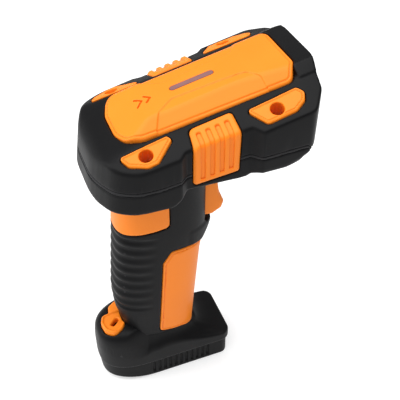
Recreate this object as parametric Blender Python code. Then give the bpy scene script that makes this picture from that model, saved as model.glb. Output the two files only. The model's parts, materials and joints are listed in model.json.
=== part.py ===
"""Pistol-grip handheld scanner: a pitched head on an upright handle with a flat foot.

Frame: +X is the way the scanner points, +Y is its left side, +Z is up.
The origin is on the table under the middle of the bounding box.
All sizes below are in millimetres; meshes are written in metres.
"""
import math
from collections import Counter

import bmesh
import bpy
from mathutils import Matrix, Vector

MM = 0.001
GAP = 0.3                # clearance between pieces that touch on the real object
WELD = 0.002             # points closer than this are one point
WIDE = 80.0              # half length of a prism that passes right through

# Head: a flat-bottomed wedge whose deck is pitched up towards the front.
PITCH = math.radians(12.7)
DECK_X, DECK_Z = -26.1, 163.0       # head frame's origin: between the two rear screw wells
DECK_H = 3.0                        # deck above the head frame's origin
DECK_HALF = 19.2                    # half width of the flat under the top panel
SHOULDER_ANGLE = math.radians(20)
SHOULDER = math.tan(SHOULDER_ANGLE)
REAR_X, WALL = -49.2, 2.4
SEAM_STEP = 1.2                     # gasket strip between the two head shells

# Plan of the head, left half from the rear to the front: (x, y, corner radius)
HEAD_PLAN = [(-60, 33.0, 0), (-13.5, 33.2, 1.6), (-10.5, 30.8, 1.6),
             (18, 32.4, 1.6), (21.5, 36.6, 2), (45.2, 36.6, 5), (51.2, 28, 5), (54.2, 8, 14)]
# The rear corners at the bottom edge; they lean forward on the way up
REAR_PLAN = [(-49.4, 9, 25), (-47.0, 18, 20), (-43.0, 27.0, 14), (-34, 32.6, 20), (-10, 34.5, 0),
             (90, 60, 0)]
REAR_LEAN, REAR_LEAN_Z = 0.15, 138.0
# Side view of the head: (x, z, corner radius), counter-clockwise
HEAD_SIDE = [(REAR_X, 138.6, 2.5), (-17, 138.6, 4), (-10, 144.5, 4), (17.0, 144.9, 0),
             (21.6, 147.3, 0), (41, 147.6, 5), (46.6, 152.5, 5), (56.1, 199, 0),
             (REAR_X + 3.2, 159.9, 12)]
# Raised collar in front of the panel: where it starts, and its section (y, h, corner radius)
COLLAR_S = 72.6
COLLAR = [(-20.4, -9, 0), (20.4, -9, 0), (20.4, 3.2, 0), (15.2, 6.4, 0), (-15.2, 6.4, 0),
          (-20.4, 3.2, 0)]
# The line where the two head shells meet: (x, z)
SEAM_LINE = [(-60, 148.6), (-22, 150.6), (16, 156.8), (42.5, 158.0), (45.5, 155.4), (60, 155.2)]

# Scan window in the front face, and the scan engine behind it
FRONT_AT, FRONT_LEAN = (50.0, 0, 166.5), math.atan2(9.9, 49.0)
ENGINE_AT = (50.3, 0, 164.6)
LAMP_SIDE = 11.0                    # the two lamps stand this far beside the lens

# Handle: (z, rear x, front x, half width)
HANDLE = [(13.6, -40.5, 0.6, 14.2), (30, -38.6, 0.6, 14.4), (40, -38.8, 1.4, 14.6),
          (50, -41.0, 2.3, 14.8), (62, -41.8, 3.4, 15.0), (84, -39.9, 5.4, 15.2),
          (97, -38.7, 7.6, 15.4), (104, -38.1, 9.0, 15.6), (120, -36.6, 9.0, 16.0),
          (148.5, -34.0, 9.0, 16.8)]
OVAL = 2.5                          # exponent of the handle's rounded oval section
GRIP_SKIN = 1.9                     # rubber and trim thickness over the handle frame
FRAME_WALL = 1.6
RIB_PITCH, RIB_DEPTH = 6.0, 0.9
RIB_LOW, RIB_HIGH = 56.0, 104.0

# Foot
FOOT_LOW, FOOT_LIP, FOOT_TOP = 13.2, 19.0, 33.0
FOOT_HALF, FOOT_FRONT, FOOT_ROUND_X, FOOT_ROUND = 17.3, 19.6, -27.8, 25.964
CAP_INSET = 1.5
CREST = [(30, 19.3), (19.6, 19.3), (-9.5, 20.6), (-24.8, 21.8), (-35.8, 23.5), (-43.8, 25.5),
         (-49.9, 27.5), (-55, 29.0)]

SKIRT_MIDDLE, SKIRT_REACH, SKIRT_HALF = -19.0, 18.6, 13.4
SKIRT_TOP, SKIRT_DOME = 34.0, 4.9
FLUTES, FLUTE_FIRST, FLUTE_PITCH, FLUTE_WIDE = 11, -27.0, 3.2, 1.4
FOOT_SCREWS = {"front_left": (13.0, 8.0), "front_right": (13.0, -8.0), "rear": (-47.0, 0.0)}
CONTACTS = {"a": -2.5, "b": 2.5}

# Lanyard lug: plan corners (x, y, radius)
LUG = [(-36.9, -4, 0), (-36.9, 9, 0), (-37.2, 11.4, 0.8), (-39.8, 11.0, 1), (-43.8, 8.4, 3),
       (-44.6, 4.0, 1.2), (-48.6, 3.4, 2.5), (-50.3, -1.0, 4), (-49.4, -6.4, 4), (-45.0, -10.6, 4),
       (-40.2, -8.6, 4)]
LUG_LOW, LUG_HIGH = 34.6, 39.8
LUG_HOLE = [(-45.6, -4.2, 1.1), (-44.2, -5.4, 1.1), (-40.4, -2.1, 1.1), (-41.8, -0.7, 1.1)]

# Trigger
PIVOT_X, PIVOT_Z, PIN_R = 5.5, 139.0, 1.5
SLOT_HALF, TRIGGER_HALF = 8.2, 7.6
SLOT_BACK = 0.8
SWITCH_Z = 118.0

# Battery cell standing in the grip
CELL_X, CELL_R = -21.6, 9.15

ORANGE = (0.95, 0.30, 0.03)
BLACK = (0.022, 0.022, 0.024)


def clear_scene():
    for item in list(bpy.data.objects):
        bpy.data.objects.remove(item, do_unlink=True)


def material(name, color, roughness, metallic=0.0, alpha=1.0):
    made = bpy.data.materials.get(name)
    if made:
        return made
    made = bpy.data.materials.new(name)
    made.use_nodes = True
    shader = made.node_tree.nodes["Principled BSDF"]
    shader.inputs["Base Color"].default_value = (*color, 1.0)
    shader.inputs["Roughness"].default_value = roughness
    shader.inputs["Metallic"].default_value = metallic
    shader.inputs["Alpha"].default_value = alpha
    return made


def orange():
    return material("orange_plastic", ORANGE, 0.38)


def rubber():
    return material("black_rubber", BLACK, 0.55)


def black_plastic():
    return material("black_plastic", (0.03, 0.03, 0.032), 0.4)


def steel():
    return material("steel", (0.55, 0.56, 0.58), 0.3, 1.0)


def seal_rubber():
    return material("seal_rubber", (0.05, 0.05, 0.05), 0.7)


def circuit_board():
    return material("circuit_board", (0.02, 0.18, 0.08), 0.45)


def brass():
    return material("brass_contact", (0.75, 0.55, 0.2), 0.3, 1.0)


# ---------------------------------------------------------------- outlines

def mirrored(half):
    """Close a left-half outline (x, y, radius) with its mirror image, counter-clockwise."""
    right = [(x, -y, r) for x, y, r in half]
    return right + [(x, y, r) for x, y, r in reversed(half)]


def offset(outline, distance):
    """Move every side of a counter-clockwise (x, y, radius) outline outwards."""
    moved = []
    count = len(outline)
    for i, (x, y, radius) in enumerate(outline):
        here = Vector((x, y))
        before = (here - Vector(outline[i - 1][:2])).normalized()
        after = (Vector(outline[(i + 1) % count][:2]) - here).normalized()
        out_before = Vector((before.y, -before.x))
        out_after = Vector((after.y, -after.x))
        corner = here + (out_before + out_after) * distance / (1 + out_before.dot(out_after))
        convex = before.x * after.y - before.y * after.x > 0
        grown = max(radius + (distance if convex else -distance), 0.3) if radius else 0
        moved.append((corner.x, corner.y, grown))
    return moved


def rounded(outline, degrees=15):
    """Turn (x, y, radius) corners into points, with arcs where the radius isn't zero."""
    points = []
    count = len(outline)
    for i, (x, y, radius) in enumerate(outline):
        here = Vector((x, y))
        back = Vector(outline[i - 1][:2]) - here
        ahead = Vector(outline[(i + 1) % count][:2]) - here
        angle = back.angle(ahead)
        turn = math.pi - angle
        if radius == 0 or turn < 0.02:
            points.append((x, y))
            continue
        reach = min(radius / math.tan(angle / 2), 0.48 * back.length, 0.48 * ahead.length)
        radius = reach * math.tan(angle / 2)
        centre = here + (back.normalized() + ahead.normalized()).normalized() * (
            radius / math.sin(angle / 2))
        start = here + back.normalized() * reach - centre
        side = 1 if back.x * ahead.y - back.y * ahead.x < 0 else -1
        steps = max(1, round(math.degrees(turn) / degrees))
        for step in range(steps + 1):
            spin = Matrix.Rotation(side * turn * step / steps, 2)
            points.append(tuple(centre + spin @ start))
    return points


# ---------------------------------------------------------------- solids

def head_frame():
    return (Matrix.Translation((DECK_X, 0, DECK_Z)) @ Matrix.Rotation(-PITCH, 4, "Y"))


def side_frame():
    """A plate drawn in (x, z) whose thickness runs along -Y."""
    return Matrix.Rotation(math.pi / 2, 4, "X")


def cross_frame():
    """A plate drawn in the head's (y, h) plane whose thickness runs forward along the head."""
    axes = Matrix(((0, 0, 1, 0), (1, 0, 0, 0), (0, 1, 0, 0), (0, 0, 0, 1)))
    return head_frame() @ axes


def front_frame():
    """Centre of the scan window: local Z is the way out of the front face."""
    return (Matrix.Translation(FRONT_AT) @ Matrix.Rotation(FRONT_LEAN, 4, "Y")
            @ Matrix.Rotation(math.pi / 2, 4, "Y") @ Matrix.Rotation(math.pi / 2, 4, "Z"))


def add(name, mesh):
    made = bpy.data.objects.new(name, mesh)
    bpy.context.scene.collection.objects.link(made)
    return made


def is_closed(mesh):
    """True if every edge of the mesh's triangles is shared by exactly two of them."""
    mesh.calc_loop_triangles()
    shared = Counter()
    for triangle in mesh.loop_triangles:
        a, b, c = triangle.vertices
        shared.update((frozenset((a, b)), frozenset((b, c)), frozenset((c, a))))
    return all(count == 2 for count in shared.values())


def evaluated(body):
    """The object's evaluated mesh, welded and in world space."""
    bpy.context.view_layer.update()
    graph = bpy.context.evaluated_depsgraph_get()
    mesh = bpy.data.meshes.new_from_object(body.evaluated_get(graph))
    mesh.transform(body.matrix_world)
    work = bmesh.new()
    work.from_mesh(mesh)
    bmesh.ops.remove_doubles(work, verts=work.verts, dist=WELD * MM)
    work.to_mesh(mesh)
    if not is_closed(mesh):
        bmesh.ops.triangulate(work, faces=work.faces)
        work.to_mesh(mesh)
    work.free()
    return mesh, is_closed(mesh)


def replace(body, mesh, outward=False):
    """Put a new mesh in place of an object, under the same name."""
    if outward:
        work = bmesh.new()
        work.from_mesh(mesh)
        bmesh.ops.recalc_face_normals(work, faces=work.faces)
        work.to_mesh(mesh)
        work.free()
    made = add(body.name, mesh)
    name = body.name
    bpy.data.objects.remove(body, do_unlink=True)
    made.name = name
    return made


def bake(body, outward=False):
    return replace(body, evaluated(body)[0], outward)


def plate(name, points, low, high, frame=Matrix()):
    """Extrude a flat outline, drawn as a filled 2D curve, from low to high along local Z."""
    curve = bpy.data.curves.new(name, "CURVE")
    curve.dimensions = "2D"
    curve.fill_mode = "BOTH"
    curve.extrude = (high - low) / 2 * MM
    spline = curve.splines.new("POLY")
    spline.points.add(len(points) - 1)
    for point, (x, y) in zip(spline.points, points):
        point.co = (x * MM, y * MM, 0, 1)
    spline.use_cyclic_u = True
    made = add(name, curve)
    scaled = frame.copy()
    scaled.translation = frame.translation * MM
    made.matrix_world = scaled @ Matrix.Translation((0, 0, (low + high) / 2 * MM))
    return bake(made, outward=True)


def box(name, low, high, frame=Matrix()):
    points = [(low[0], low[1]), (high[0], low[1]), (high[0], high[1]), (low[0], high[1])]
    return plate(name, points, low[2], high[2], frame)


def disc(name, radius, low, high, frame=Matrix(), sides=24):
    """A closed cylinder along local Z."""
    mesh = bpy.data.meshes.new(name)
    work = bmesh.new()
    bmesh.ops.create_cone(work, cap_ends=True, segments=sides, radius1=radius * MM,
                          radius2=radius * MM, depth=(high - low) * MM)
    work.to_mesh(mesh)
    work.free()
    made = add(name, mesh)
    scaled = frame.copy()
    scaled.translation = frame.translation * MM
    made.matrix_world = scaled @ Matrix.Translation((0, 0, (low + high) / 2 * MM))
    return bake(made, outward=True)


def loft(name, rings):
    """Skin a stack of equal rings of (x, y, z) points, bottom to top, with flat ends."""
    mesh = bpy.data.meshes.new(name)
    work = bmesh.new()
    layers = [[work.verts.new(Vector(point) * MM) for point in ring] for ring in rings]
    count = len(rings[0])
    for lower, upper in zip(layers, layers[1:]):
        for i in range(count):
            j = (i + 1) % count
            work.faces.new((lower[i], lower[j], upper[j], upper[i]))
    work.faces.new(reversed(layers[0]))
    work.faces.new(layers[-1])
    bmesh.ops.recalc_face_normals(work, faces=work.faces)
    work.to_mesh(mesh)
    work.free()
    return add(name, mesh)


def combine(body, tool, operation, keep=False):
    change = body.modifiers.new(operation.lower(), "BOOLEAN")
    change.operation = operation
    change.object = tool
    for solver in ("EXACT", "MANIFOLD"):
        change.solver = solver
        mesh, closed = evaluated(body)
        if closed:
            break
    made = replace(body, mesh)
    if not keep:
        bpy.data.objects.remove(tool, do_unlink=True)
    return made


def cut(body, tool, keep=False):
    return combine(body, tool, "DIFFERENCE", keep)


def common(body, tool, keep=False):
    return combine(body, tool, "INTERSECT", keep)


def join(body, tool):
    return combine(body, tool, "UNION")


def flatten(body):
    """Merge the triangles of each flat face, if the solid stays closed."""
    trial = body.data.copy()
    work = bmesh.new()
    work.from_mesh(trial)
    bmesh.ops.dissolve_limit(work, angle_limit=math.radians(0.1), verts=work.verts, edges=work.edges)
    work.to_mesh(trial)
    work.free()
    if is_closed(trial):
        body.data = trial


def wear(body, look):
    flatten(body)
    body.data.materials.clear()
    body.data.materials.append(look)
    for face in body.data.polygons:
        face.material_index = 0
    body.data.shade_smooth()
    body.data.set_sharp_from_angle(angle=math.radians(30))
    return body


# ---------------------------------------------------------------- head

def head_block(name, grow):
    """The head's plan crossed with its side view, before the deck and shoulders are cut."""
    plan = plate(name, rounded(offset(mirrored(HEAD_PLAN), grow)), 110, 230)
    side = plate("side", rounded(offset(HEAD_SIDE, grow)), -WIDE, WIDE, side_frame())
    ring = rounded(offset(mirrored(REAR_PLAN), grow))
    levels = [[(x + REAR_LEAN * (z - REAR_LEAN_Z), y, z) for x, y in ring] for z in (105, 235)]
    corners = loft("corners", levels)
    return common(common(plan, side), corners)


def head_solid(name, grow):
    """The head's outer form, grown (or shrunk) evenly by a distance."""
    top = DECK_H + grow
    edge = DECK_HALF + grow * math.tan(SHOULDER_ANGLE / 2)
    eaves = top - (WIDE - edge) * SHOULDER
    roof = [(-WIDE, -90), (WIDE, -90), (WIDE, eaves), (edge, top), (-edge, top), (-WIDE, eaves)]
    body = plate(name, roof, -70, 110, cross_frame())
    collar = plate("collar", rounded(offset(COLLAR, grow)), COLLAR_S - grow, 110, cross_frame())
    body = join(body, collar)
    return common(body, head_block("block", grow))


def seam_prism(name, low, high):
    """Everything between two copies of the seam line; None means without end."""
    bottom = [(x, z + low) for x, z in SEAM_LINE] if low is not None else [(-60, 60), (60, 60)]
    top = [(x, z + high) for x, z in SEAM_LINE] if high is not None else [(-60, 260), (60, 260)]
    return plate(name, bottom + top[::-1], -WIDE, WIDE, side_frame())


SIDE_GRIP = [(-7.6, 146.6, 1.5), (12.8, 149.8, 1.5), (13.2, 168, 0), (12, 178.5, 2.5),
             (-5, 174.5, 2.5), (-7.4, 165, 0)]
GRIP_INNER_Y = 22.3
GRIP_DEPTH = 1.1                    # the side grips sit this deep in the shells
GROOVES, GROOVE_FIRST, GROOVE_PITCH, GROOVE_HALF = 4, -3.5, 4.15, 1.0
GROOVE_LOW, GROOVE_INNER_Y = 150.2, 25.5


def side_grip_region(name, side, grow):
    points = rounded(offset(SIDE_GRIP, grow))
    low, high = sorted((side * (GRIP_INNER_Y - grow), side * WIDE))
    return plate(name, points, -high, -low, side_frame())


def groove_region(name, side, index):
    """One of the finger grooves, upright across the pad."""
    middle = GROOVE_FIRST + index * GROOVE_PITCH
    low, high = sorted((side * GROOVE_INNER_Y, side * WIDE))
    bottom = GROOVE_LOW + math.tan(PITCH) * middle
    points = [(middle - GROOVE_HALF, bottom), (middle + GROOVE_HALF, bottom),
              (middle + GROOVE_HALF, 190), (middle - GROOVE_HALF, 190)]
    return plate(name, points, -high, -low, side_frame())


# Screw pads drawn in the head frame's (s, y) plane for the left side
REAR_PAD = [(-10.4, 22.0, 1.2), (-8.0, 27.0, 2), (-1.0, 30.6, 2.5), (3.6, 30.4, 1.5),
            (12.6, 23.4, 1), (11.4, 21.1, 1)]
FRONT_PAD = [(45.6, 24.8, 1.2), (51.2, 33.6, 2), (64.4, 33.2, 2.5), (69.6, 30.4, 2.5),
             (71.4, 27.0, 2), (69.2, 23.8, 1.5)]
PADS = {"rear": (REAR_PAD, 0.2, 25.6), "front": (FRONT_PAD, 57.6, 29.2)}
WELL_R, WELL_DEPTH, PAD_PROUD = 3.05, 12.3, 0.4
BOSS_WALL, BOSS_FLOOR = 1.2, 2.2


def pad_prism(name, place, side, grow):
    outline = PADS[place][0]
    turned = outline if side > 0 else [(s, -y, r) for s, y, r in outline]
    area = sum(a[0] * b[1] - b[0] * a[1] for a, b in zip(turned, turned[1:] + turned[:1]))
    if area < 0:
        turned = turned[::-1]
    return plate(name, rounded(offset(turned, grow), 30), -6.5 - grow, 30, head_frame())


def well_frame(place, side):
    """Centre of a screw well on the shoulder; local Z leans out with the shoulder."""
    _, s, y = PADS[place]
    h = DECK_H - (y - DECK_HALF) * SHOULDER
    return (head_frame() @ Matrix.Translation((s, side * y, h))
            @ Matrix.Rotation(-side * SHOULDER_ANGLE, 4, "X"))


LAMP_SLOT = [(21.8, -1.6, 1.5), (42.4, -1.6, 1.5), (42.4, 1.6, 1.5), (21.8, 1.6, 1.5)]
PANEL_SEAT = DECK_H - 1.7           # underside of the top panel
PANEL = [(-7.8, 7.5, 12), (-4.8, 15.4, 7), (1.5, 18.5, 8), (12, 18.9, 0), (69.4, 20.2, 4),
         (74.2, 12.5, 5)]


def panel_outline(grow):
    return rounded(offset(mirrored(PANEL), grow))


def top_panel():
    body = plate("top_panel", panel_outline(0), PANEL_SEAT, 20, head_frame())
    roof = [(-22, -5), (22, -5), (22, 1.2), (18.9, 3.5), (12.0, 8.6), (-12.0, 8.6),
            (-18.9, 3.5), (-22, 1.2)]
    body = common(body, plate("roof", roof, -20, 90, cross_frame()))
    crown = [(-12, -5, 0), (84, -5, 0), (84, 5.3, 0), (46, 8.5, 60), (8, 8.5, 12), (-12, 1.2, 0)]
    side = plate("crown", rounded(crown, 6), -WIDE, WIDE, head_frame() @ side_frame())
    body = common(body, side)
    body = cut(body, plate("slot", rounded(LAMP_SLOT, 30), -5, 20, head_frame()))
    return wear(body, orange())


def light_guide():
    outline = rounded(offset(LAMP_SLOT, -GAP / 2), 30)
    body = plate("light_guide", outline, PANEL_SEAT + GAP, 8.1, head_frame())
    return wear(body, material("smoked_lens", (0.42, 0.24, 0.24), 0.2))


def head_shells():
    """Upper and lower shell with the gasket strip that shows as a double line."""
    cavity = head_solid("cavity", -WALL)
    whole = head_solid("whole", 0)
    hollow = cut(whole, cavity, keep=True)
    upper = add("head_upper_shell", hollow.data.copy())
    lower = add("head_lower_shell", hollow.data.copy())
    bpy.data.objects.remove(hollow, do_unlink=True)

    upper = common(upper, seam_prism("keep", GAP / 2, None))
    lower = common(lower, seam_prism("keep", None, -SEAM_STEP - GAP / 2))
    gasket = cut(head_block("head_gasket", -0.7), head_block("inside", -WALL))
    gasket = common(gasket, seam_prism("keep", -SEAM_STEP + GAP / 2, -GAP / 2))
    bpy.data.objects.remove(cavity, do_unlink=True)

    seat = plate("seat", panel_outline(GAP), PANEL_SEAT - GAP, 20, head_frame())
    upper = cut(upper, seat)
    slot = rounded(offset(LAMP_SLOT, 0.2), 30)
    upper = cut(upper, plate("slot", slot, -10, 20, head_frame()))
    for side in (1, -1):
        for place in PADS:
            upper = cut(upper, pad_prism("pocket", place, side, GAP))
        recess = cut(side_grip_region("recess", side, GAP), head_solid("floor", -GRIP_DEPTH - GAP))
        upper = cut(upper, recess, keep=True)
        lower = cut(lower, recess, keep=True)
        gasket = cut(gasket, recess)
    lower = cut(lower, handle_solid("neck", GAP))
    window = plate("window", rounded(window_outline(GAP)), -5.5, 14, front_frame())
    upper = cut(upper, window, keep=True)
    lower = cut(lower, window, keep=True)
    gasket = cut(gasket, window)
    return [wear(upper, rubber()), wear(lower, rubber()),
            wear(gasket, seal_rubber())]


def screw_pad(place, side, label):
    """A plastic pad on a shoulder that carries one deep screw well."""
    band = cut(head_solid("band", PAD_PROUD), head_solid("inside", -WALL - 1))
    body = common(band, pad_prism("edge", place, side, 0))
    frame = well_frame(place, side)
    bottom = -WELL_DEPTH - BOSS_FLOOR
    body = join(body, disc("boss", WELL_R + BOSS_WALL, bottom, -WALL - 0.6, frame))
    body = cut(body, disc("well", WELL_R, -WELL_DEPTH, 5, frame))
    body = cut(body, disc("shank_hole", 1.3, bottom - 1, 0, frame, sides=16))
    body.name = "screw_pad_" + place + "_" + label
    return wear(body, orange())


def head_screw(place, side, label):
    seat = GAP - WELL_DEPTH         # underside of the screw's head
    frame = well_frame(place, side) @ Matrix.Translation((0, 0, seat))
    body = disc("head_screw_" + place + "_" + label, 2.7, 0, 2.1, frame, sides=20)
    body = join(body, disc("shank", 1.1, -5.5, 0.1, frame, sides=12))
    corners = [math.radians(60 * i) for i in range(6)]
    hexagon = [(1.35 * math.cos(angle), 1.35 * math.sin(angle)) for angle in corners]
    socket = plate("socket", hexagon, 1.0, 3, frame)
    return wear(cut(body, socket), steel())


def side_grip(side, label):
    band = cut(head_solid("band", 0.8), head_solid("inside", -GRIP_DEPTH))
    body = common(band, side_grip_region("region", side, 0))
    skin = cut(head_solid("skin", 2), head_solid("under", -0.5))
    for index in range(GROOVES):
        groove = common(groove_region("groove", side, index), skin, keep=True)
        body = cut(body, groove)
    bpy.data.objects.remove(skin, do_unlink=True)
    body.name = "side_grip_" + label
    return wear(body, orange())


# ---------------------------------------------------------------- scan window and optics

def window_outline(grow):
    return offset([(-22, -10, 3), (22, -10, 3), (22, 10, 3), (-22, 10, 3)], grow)


def engine_frame():
    """The scan engine looks straight ahead; local Z is its line of sight."""
    return (Matrix.Translation(ENGINE_AT) @ Matrix.Rotation(math.pi / 2, 4, "Y")
            @ Matrix.Rotation(math.pi / 2, 4, "Z"))


def scan_front():
    frame = front_frame()
    bezel = plate("window_bezel", rounded(window_outline(0)), -5.0, 0.6, frame)
    bezel = cut(bezel, plate("hole", rounded(window_outline(-5), 30), -9, 9, frame))
    bezel = cut(bezel, plate("rebate", rounded(window_outline(-3), 30), -9, -2.0, frame))
    seal = plate("window_gasket", rounded(window_outline(-3 - GAP), 30), -3.1, -2.0 - GAP, frame)
    seal = cut(seal, plate("hole", rounded(window_outline(-5), 30), -9, 9, frame))
    glass = plate("scan_window", rounded(window_outline(-3 - GAP), 30), -4.9, -3.1 - GAP, frame)
    return [wear(bezel, black_plastic()), wear(seal, seal_rubber()),
            wear(glass, material("window_glass", (0.12, 0.02, 0.03), 0.05, 0.0, 0.45))]


def engine_parts():
    """Scan engine on its bracket behind the window."""
    frame = engine_frame()
    made = []
    bracket = box("engine_bracket", (-19, -8, -30), (19, 8, -28.2), frame)
    for side in (-1, 1):
        low, high = sorted((side * 17.2, side * 19))
        bracket = join(bracket, box("arm", (low, -8, -28.4), (high, 8, -14), frame))
    made.append(wear(bracket, material("zinc_frame", (0.45, 0.46, 0.48), 0.45, 0.9)))
    body = box("engine_body", (-15.5, -7.5, -27.8), (15.5, 7.5, -14), frame)
    body = cut(body, disc("bore", 4.3, -22, 0, frame))
    for x in (-LAMP_SIDE, LAMP_SIDE):
        body = cut(body, disc("pocket", 2.9, -18, 0, frame @ Matrix.Translation((x, 0, 0))))
    made.append(wear(body, black_plastic()))
    barrel = disc("lens_barrel", 4.0, -21.6, -11.5, frame)
    barrel = cut(barrel, disc("throat", 2.6, -14, -5, frame))
    made.append(wear(barrel, black_plastic()))
    lens = disc("camera_lens", 2.3, -13.7, -12.6, frame, sides=20)
    made.append(wear(lens, material("lens_glass", (0.1, 0.12, 0.2), 0.03, 0.0, 0.5)))
    for x, name in ((-LAMP_SIDE, "aiming_light"), (LAMP_SIDE, "illumination_light")):
        light = disc(name, 2.6, -17.7, -13.0, frame @ Matrix.Translation((x, 0, 0)), sides=20)
        made.append(wear(light, material("lamp", (0.9, 0.85, 0.7), 0.15)))
    return made


def head_boards():
    """Circuit board under the deck, its chips, the buzzer and the status lamp board."""
    frame = head_frame()
    board = box("main_board", (-12, -15, -11.6), (40, 15, -10.0), frame)
    chip = box("processor", (18, -6, -9.7), (30, 6, -8.1), frame)
    buzzer_frame = frame @ Matrix.Translation((2, 0, 0))
    buzzer = disc("buzzer", 5.5, -9.7, -4.2, buzzer_frame, sides=28)
    buzzer = cut(buzzer, disc("port", 1.0, -6, 0, buzzer_frame, sides=12))
    lamp = box("status_lamp_board", (20, -4, -3.2), (44, 4, -2.0), frame)
    return [wear(board, circuit_board()), wear(chip, black_plastic()),
            wear(buzzer, black_plastic()), wear(lamp, circuit_board())]


# ---------------------------------------------------------------- handle

def handle_ring(z, rear, front, half, grow, ribs=False, count=28):
    """One level of the handle: a rounded rectangle-like oval, ribbed along its back."""
    middle, reach = (rear + front) / 2, (front - rear) / 2 + grow
    ring = []
    for step in range(count):
        angle = 2 * math.pi * step / count
        c, s = math.cos(angle), math.sin(angle)
        x = reach * math.copysign(abs(c) ** (2 / OVAL), c)
        y = (half + grow) * math.copysign(abs(s) ** (2 / OVAL), s)
        if ribs and RIB_LOW < z < RIB_HIGH:
            wave = 0.5 - 0.5 * math.cos(2 * math.pi * (z - RIB_LOW) / RIB_PITCH)
            back = max(0.0, -c - 0.05) ** 0.7
            x *= 1 - RIB_DEPTH * (1 - wave) * back / reach
            y *= 1 - RIB_DEPTH * (1 - wave) * back / reach
        ring.append((middle + x, y, z))
    return ring


def handle_level(z):
    """Interpolate the handle table at a height."""
    for low, high in zip(HANDLE, HANDLE[1:]):
        if low[0] <= z <= high[0]:
            t = (z - low[0]) / (high[0] - low[0])
            return tuple(a + (b - a) * t for a, b in zip(low, high))
    raise ValueError("height outside the handle")


def handle_solid(name, grow, ribs=False, low=None, high=None):
    low = HANDLE[0][0] if low is None else low
    high = HANDLE[-1][0] if high is None else high
    levels = {low, high} | {row[0] for row in HANDLE if low < row[0] < high}
    if ribs:
        steps = round((RIB_HIGH - RIB_LOW) / (RIB_PITCH / 4))
        levels |= {RIB_LOW + i * RIB_PITCH / 4 for i in range(steps + 1)}
    rings = [handle_ring(*handle_level(z), grow, ribs) for z in sorted(levels)]
    return loft(name, rings)


CHIN = [(-2, 89.5, 0), (3.4, 91.4, 3), (13.0, 99.6, 1.2), (11.0, 101.2, 0.8), (-2, 101.2, 0)]
SADDLE = [(-60, 107.6, 0), (-36, 107.0, 14), (-13.6, 110.6, 3), (-13.6, 160, 0), (-60, 160, 0)]
STRIP = [(-21.4, 35.0, 2), (-9, 32.5, 4), (2, 26.5, 0), (30, 26.5, 0), (30, 91.5, 0), (3, 92.5, 4),
         (-13.2, 93.6, 3), (-17.8, 86.6, 3)]


def chin_solid(name, grow):
    body = plate(name, rounded(offset(CHIN, grow)), -WIDE, WIDE, side_frame())
    oval = [((24.2 + grow) * math.cos(math.radians(10 * i)) - 11.6,
             (14.6 + grow) * math.sin(math.radians(10 * i))) for i in range(36)]
    return common(body, plate("oval", oval, 60, 120))


def region(name, outline, grow=0.0):
    return plate(name, rounded(offset(outline, grow)), -WIDE, WIDE, side_frame())


def trigger_slot(name):
    return box(name, (SLOT_BACK, -SLOT_HALF, 101.2), (40, SLOT_HALF, 146.2))


def handle_parts():
    core_out = handle_solid("core", -GRIP_SKIN - GAP)
    bore = handle_solid("bore", -GRIP_SKIN - GAP - FRAME_WALL, low=13.6, high=147)
    bore.matrix_world = Matrix.Scale(1.02, 4, (0, 0, 1)) @ Matrix.Translation((0, 0, -1 * MM))
    bore = bake(bore)
    frame = cut(core_out, bore)
    frame = cut(frame, trigger_slot("slot"))
    frame = cut(frame, pivot_rod("hole", PIN_R + 0.06, 30))
    frame.name = "handle_frame"

    outer = join(handle_solid("grip", 0, ribs=True, low=FOOT_TOP + GAP), chin_solid("chin", 0))
    inner = handle_solid("inner", -GRIP_SKIN, low=20)
    skin = cut(outer, inner)
    grip = cut(skin, region("saddle", SADDLE, GAP / 2))
    grip = cut(grip, region("strip", STRIP, GAP / 2))
    grip = cut(grip, trigger_slot("slot"))
    grip = cut(grip, pivot_rod("hole", PIN_R + 0.06, 10.5))
    grip.name = "rubber_grip"

    def trim(name, outline, grow, low):
        shell = cut(handle_solid("out", grow, low=low), handle_solid("in", -GRIP_SKIN, low=20))
        piece = common(shell, region("edge", outline, -GAP / 2))
        piece.name = name
        return piece

    saddle = trim("handle_saddle", SADDLE, 0, 100)
    strip = trim("front_strip", STRIP, 0.3, 26)
    return [wear(frame, black_plastic()), wear(grip, rubber()), wear(saddle, orange()),
            wear(strip, orange())]


# ---------------------------------------------------------------- trigger

TRIGGER = [(2.4, 135, 2), (4.6, 112, 2), (5.8, 104.0, 1.5), (11, 103.4, 2), (16.2, 106.2, 1.5),
           (17.5, 110, 1.8), (14.9, 117, 10), (13.8, 126, 12), (13.6, 142.6, 1), (2.4, 142.6, 3)]


def pivot_rod(name, radius, half_length):
    turn = Matrix.Translation((PIVOT_X, 0, PIVOT_Z)) @ Matrix.Rotation(math.pi / 2, 4, "X")
    return disc(name, radius, -half_length, half_length, turn, sides=24)


def trigger_spring():
    """Torsion spring around the pin, its two legs reaching back to the bracket."""
    coil = bpy.data.curves.new("trigger_spring", "CURVE")
    coil.dimensions = "3D"
    coil.bevel_depth = 0.4 * MM
    coil.bevel_resolution = 1
    coil.use_fill_caps = True
    turns, radius, half = 4, 2.4, 2.6
    points = [(PIVOT_X - 4.2, -half, PIVOT_Z - 6.0)]
    steps = turns * 12
    for step in range(steps + 1):
        share = step / steps
        angle = math.pi + 2 * math.pi * turns * share
        points.append((PIVOT_X + radius * math.cos(angle), -half + 2 * half * share,
                       PIVOT_Z + radius * math.sin(angle)))
    points.append((PIVOT_X - radius + 0.2, half, PIVOT_Z - 6.5))
    spline = coil.splines.new("POLY")
    spline.points.add(len(points) - 1)
    for point, place in zip(spline.points, points):
        point.co = (*(Vector(place) * MM), 1)
    return wear(bake(add("trigger_spring", coil)), steel())


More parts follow.
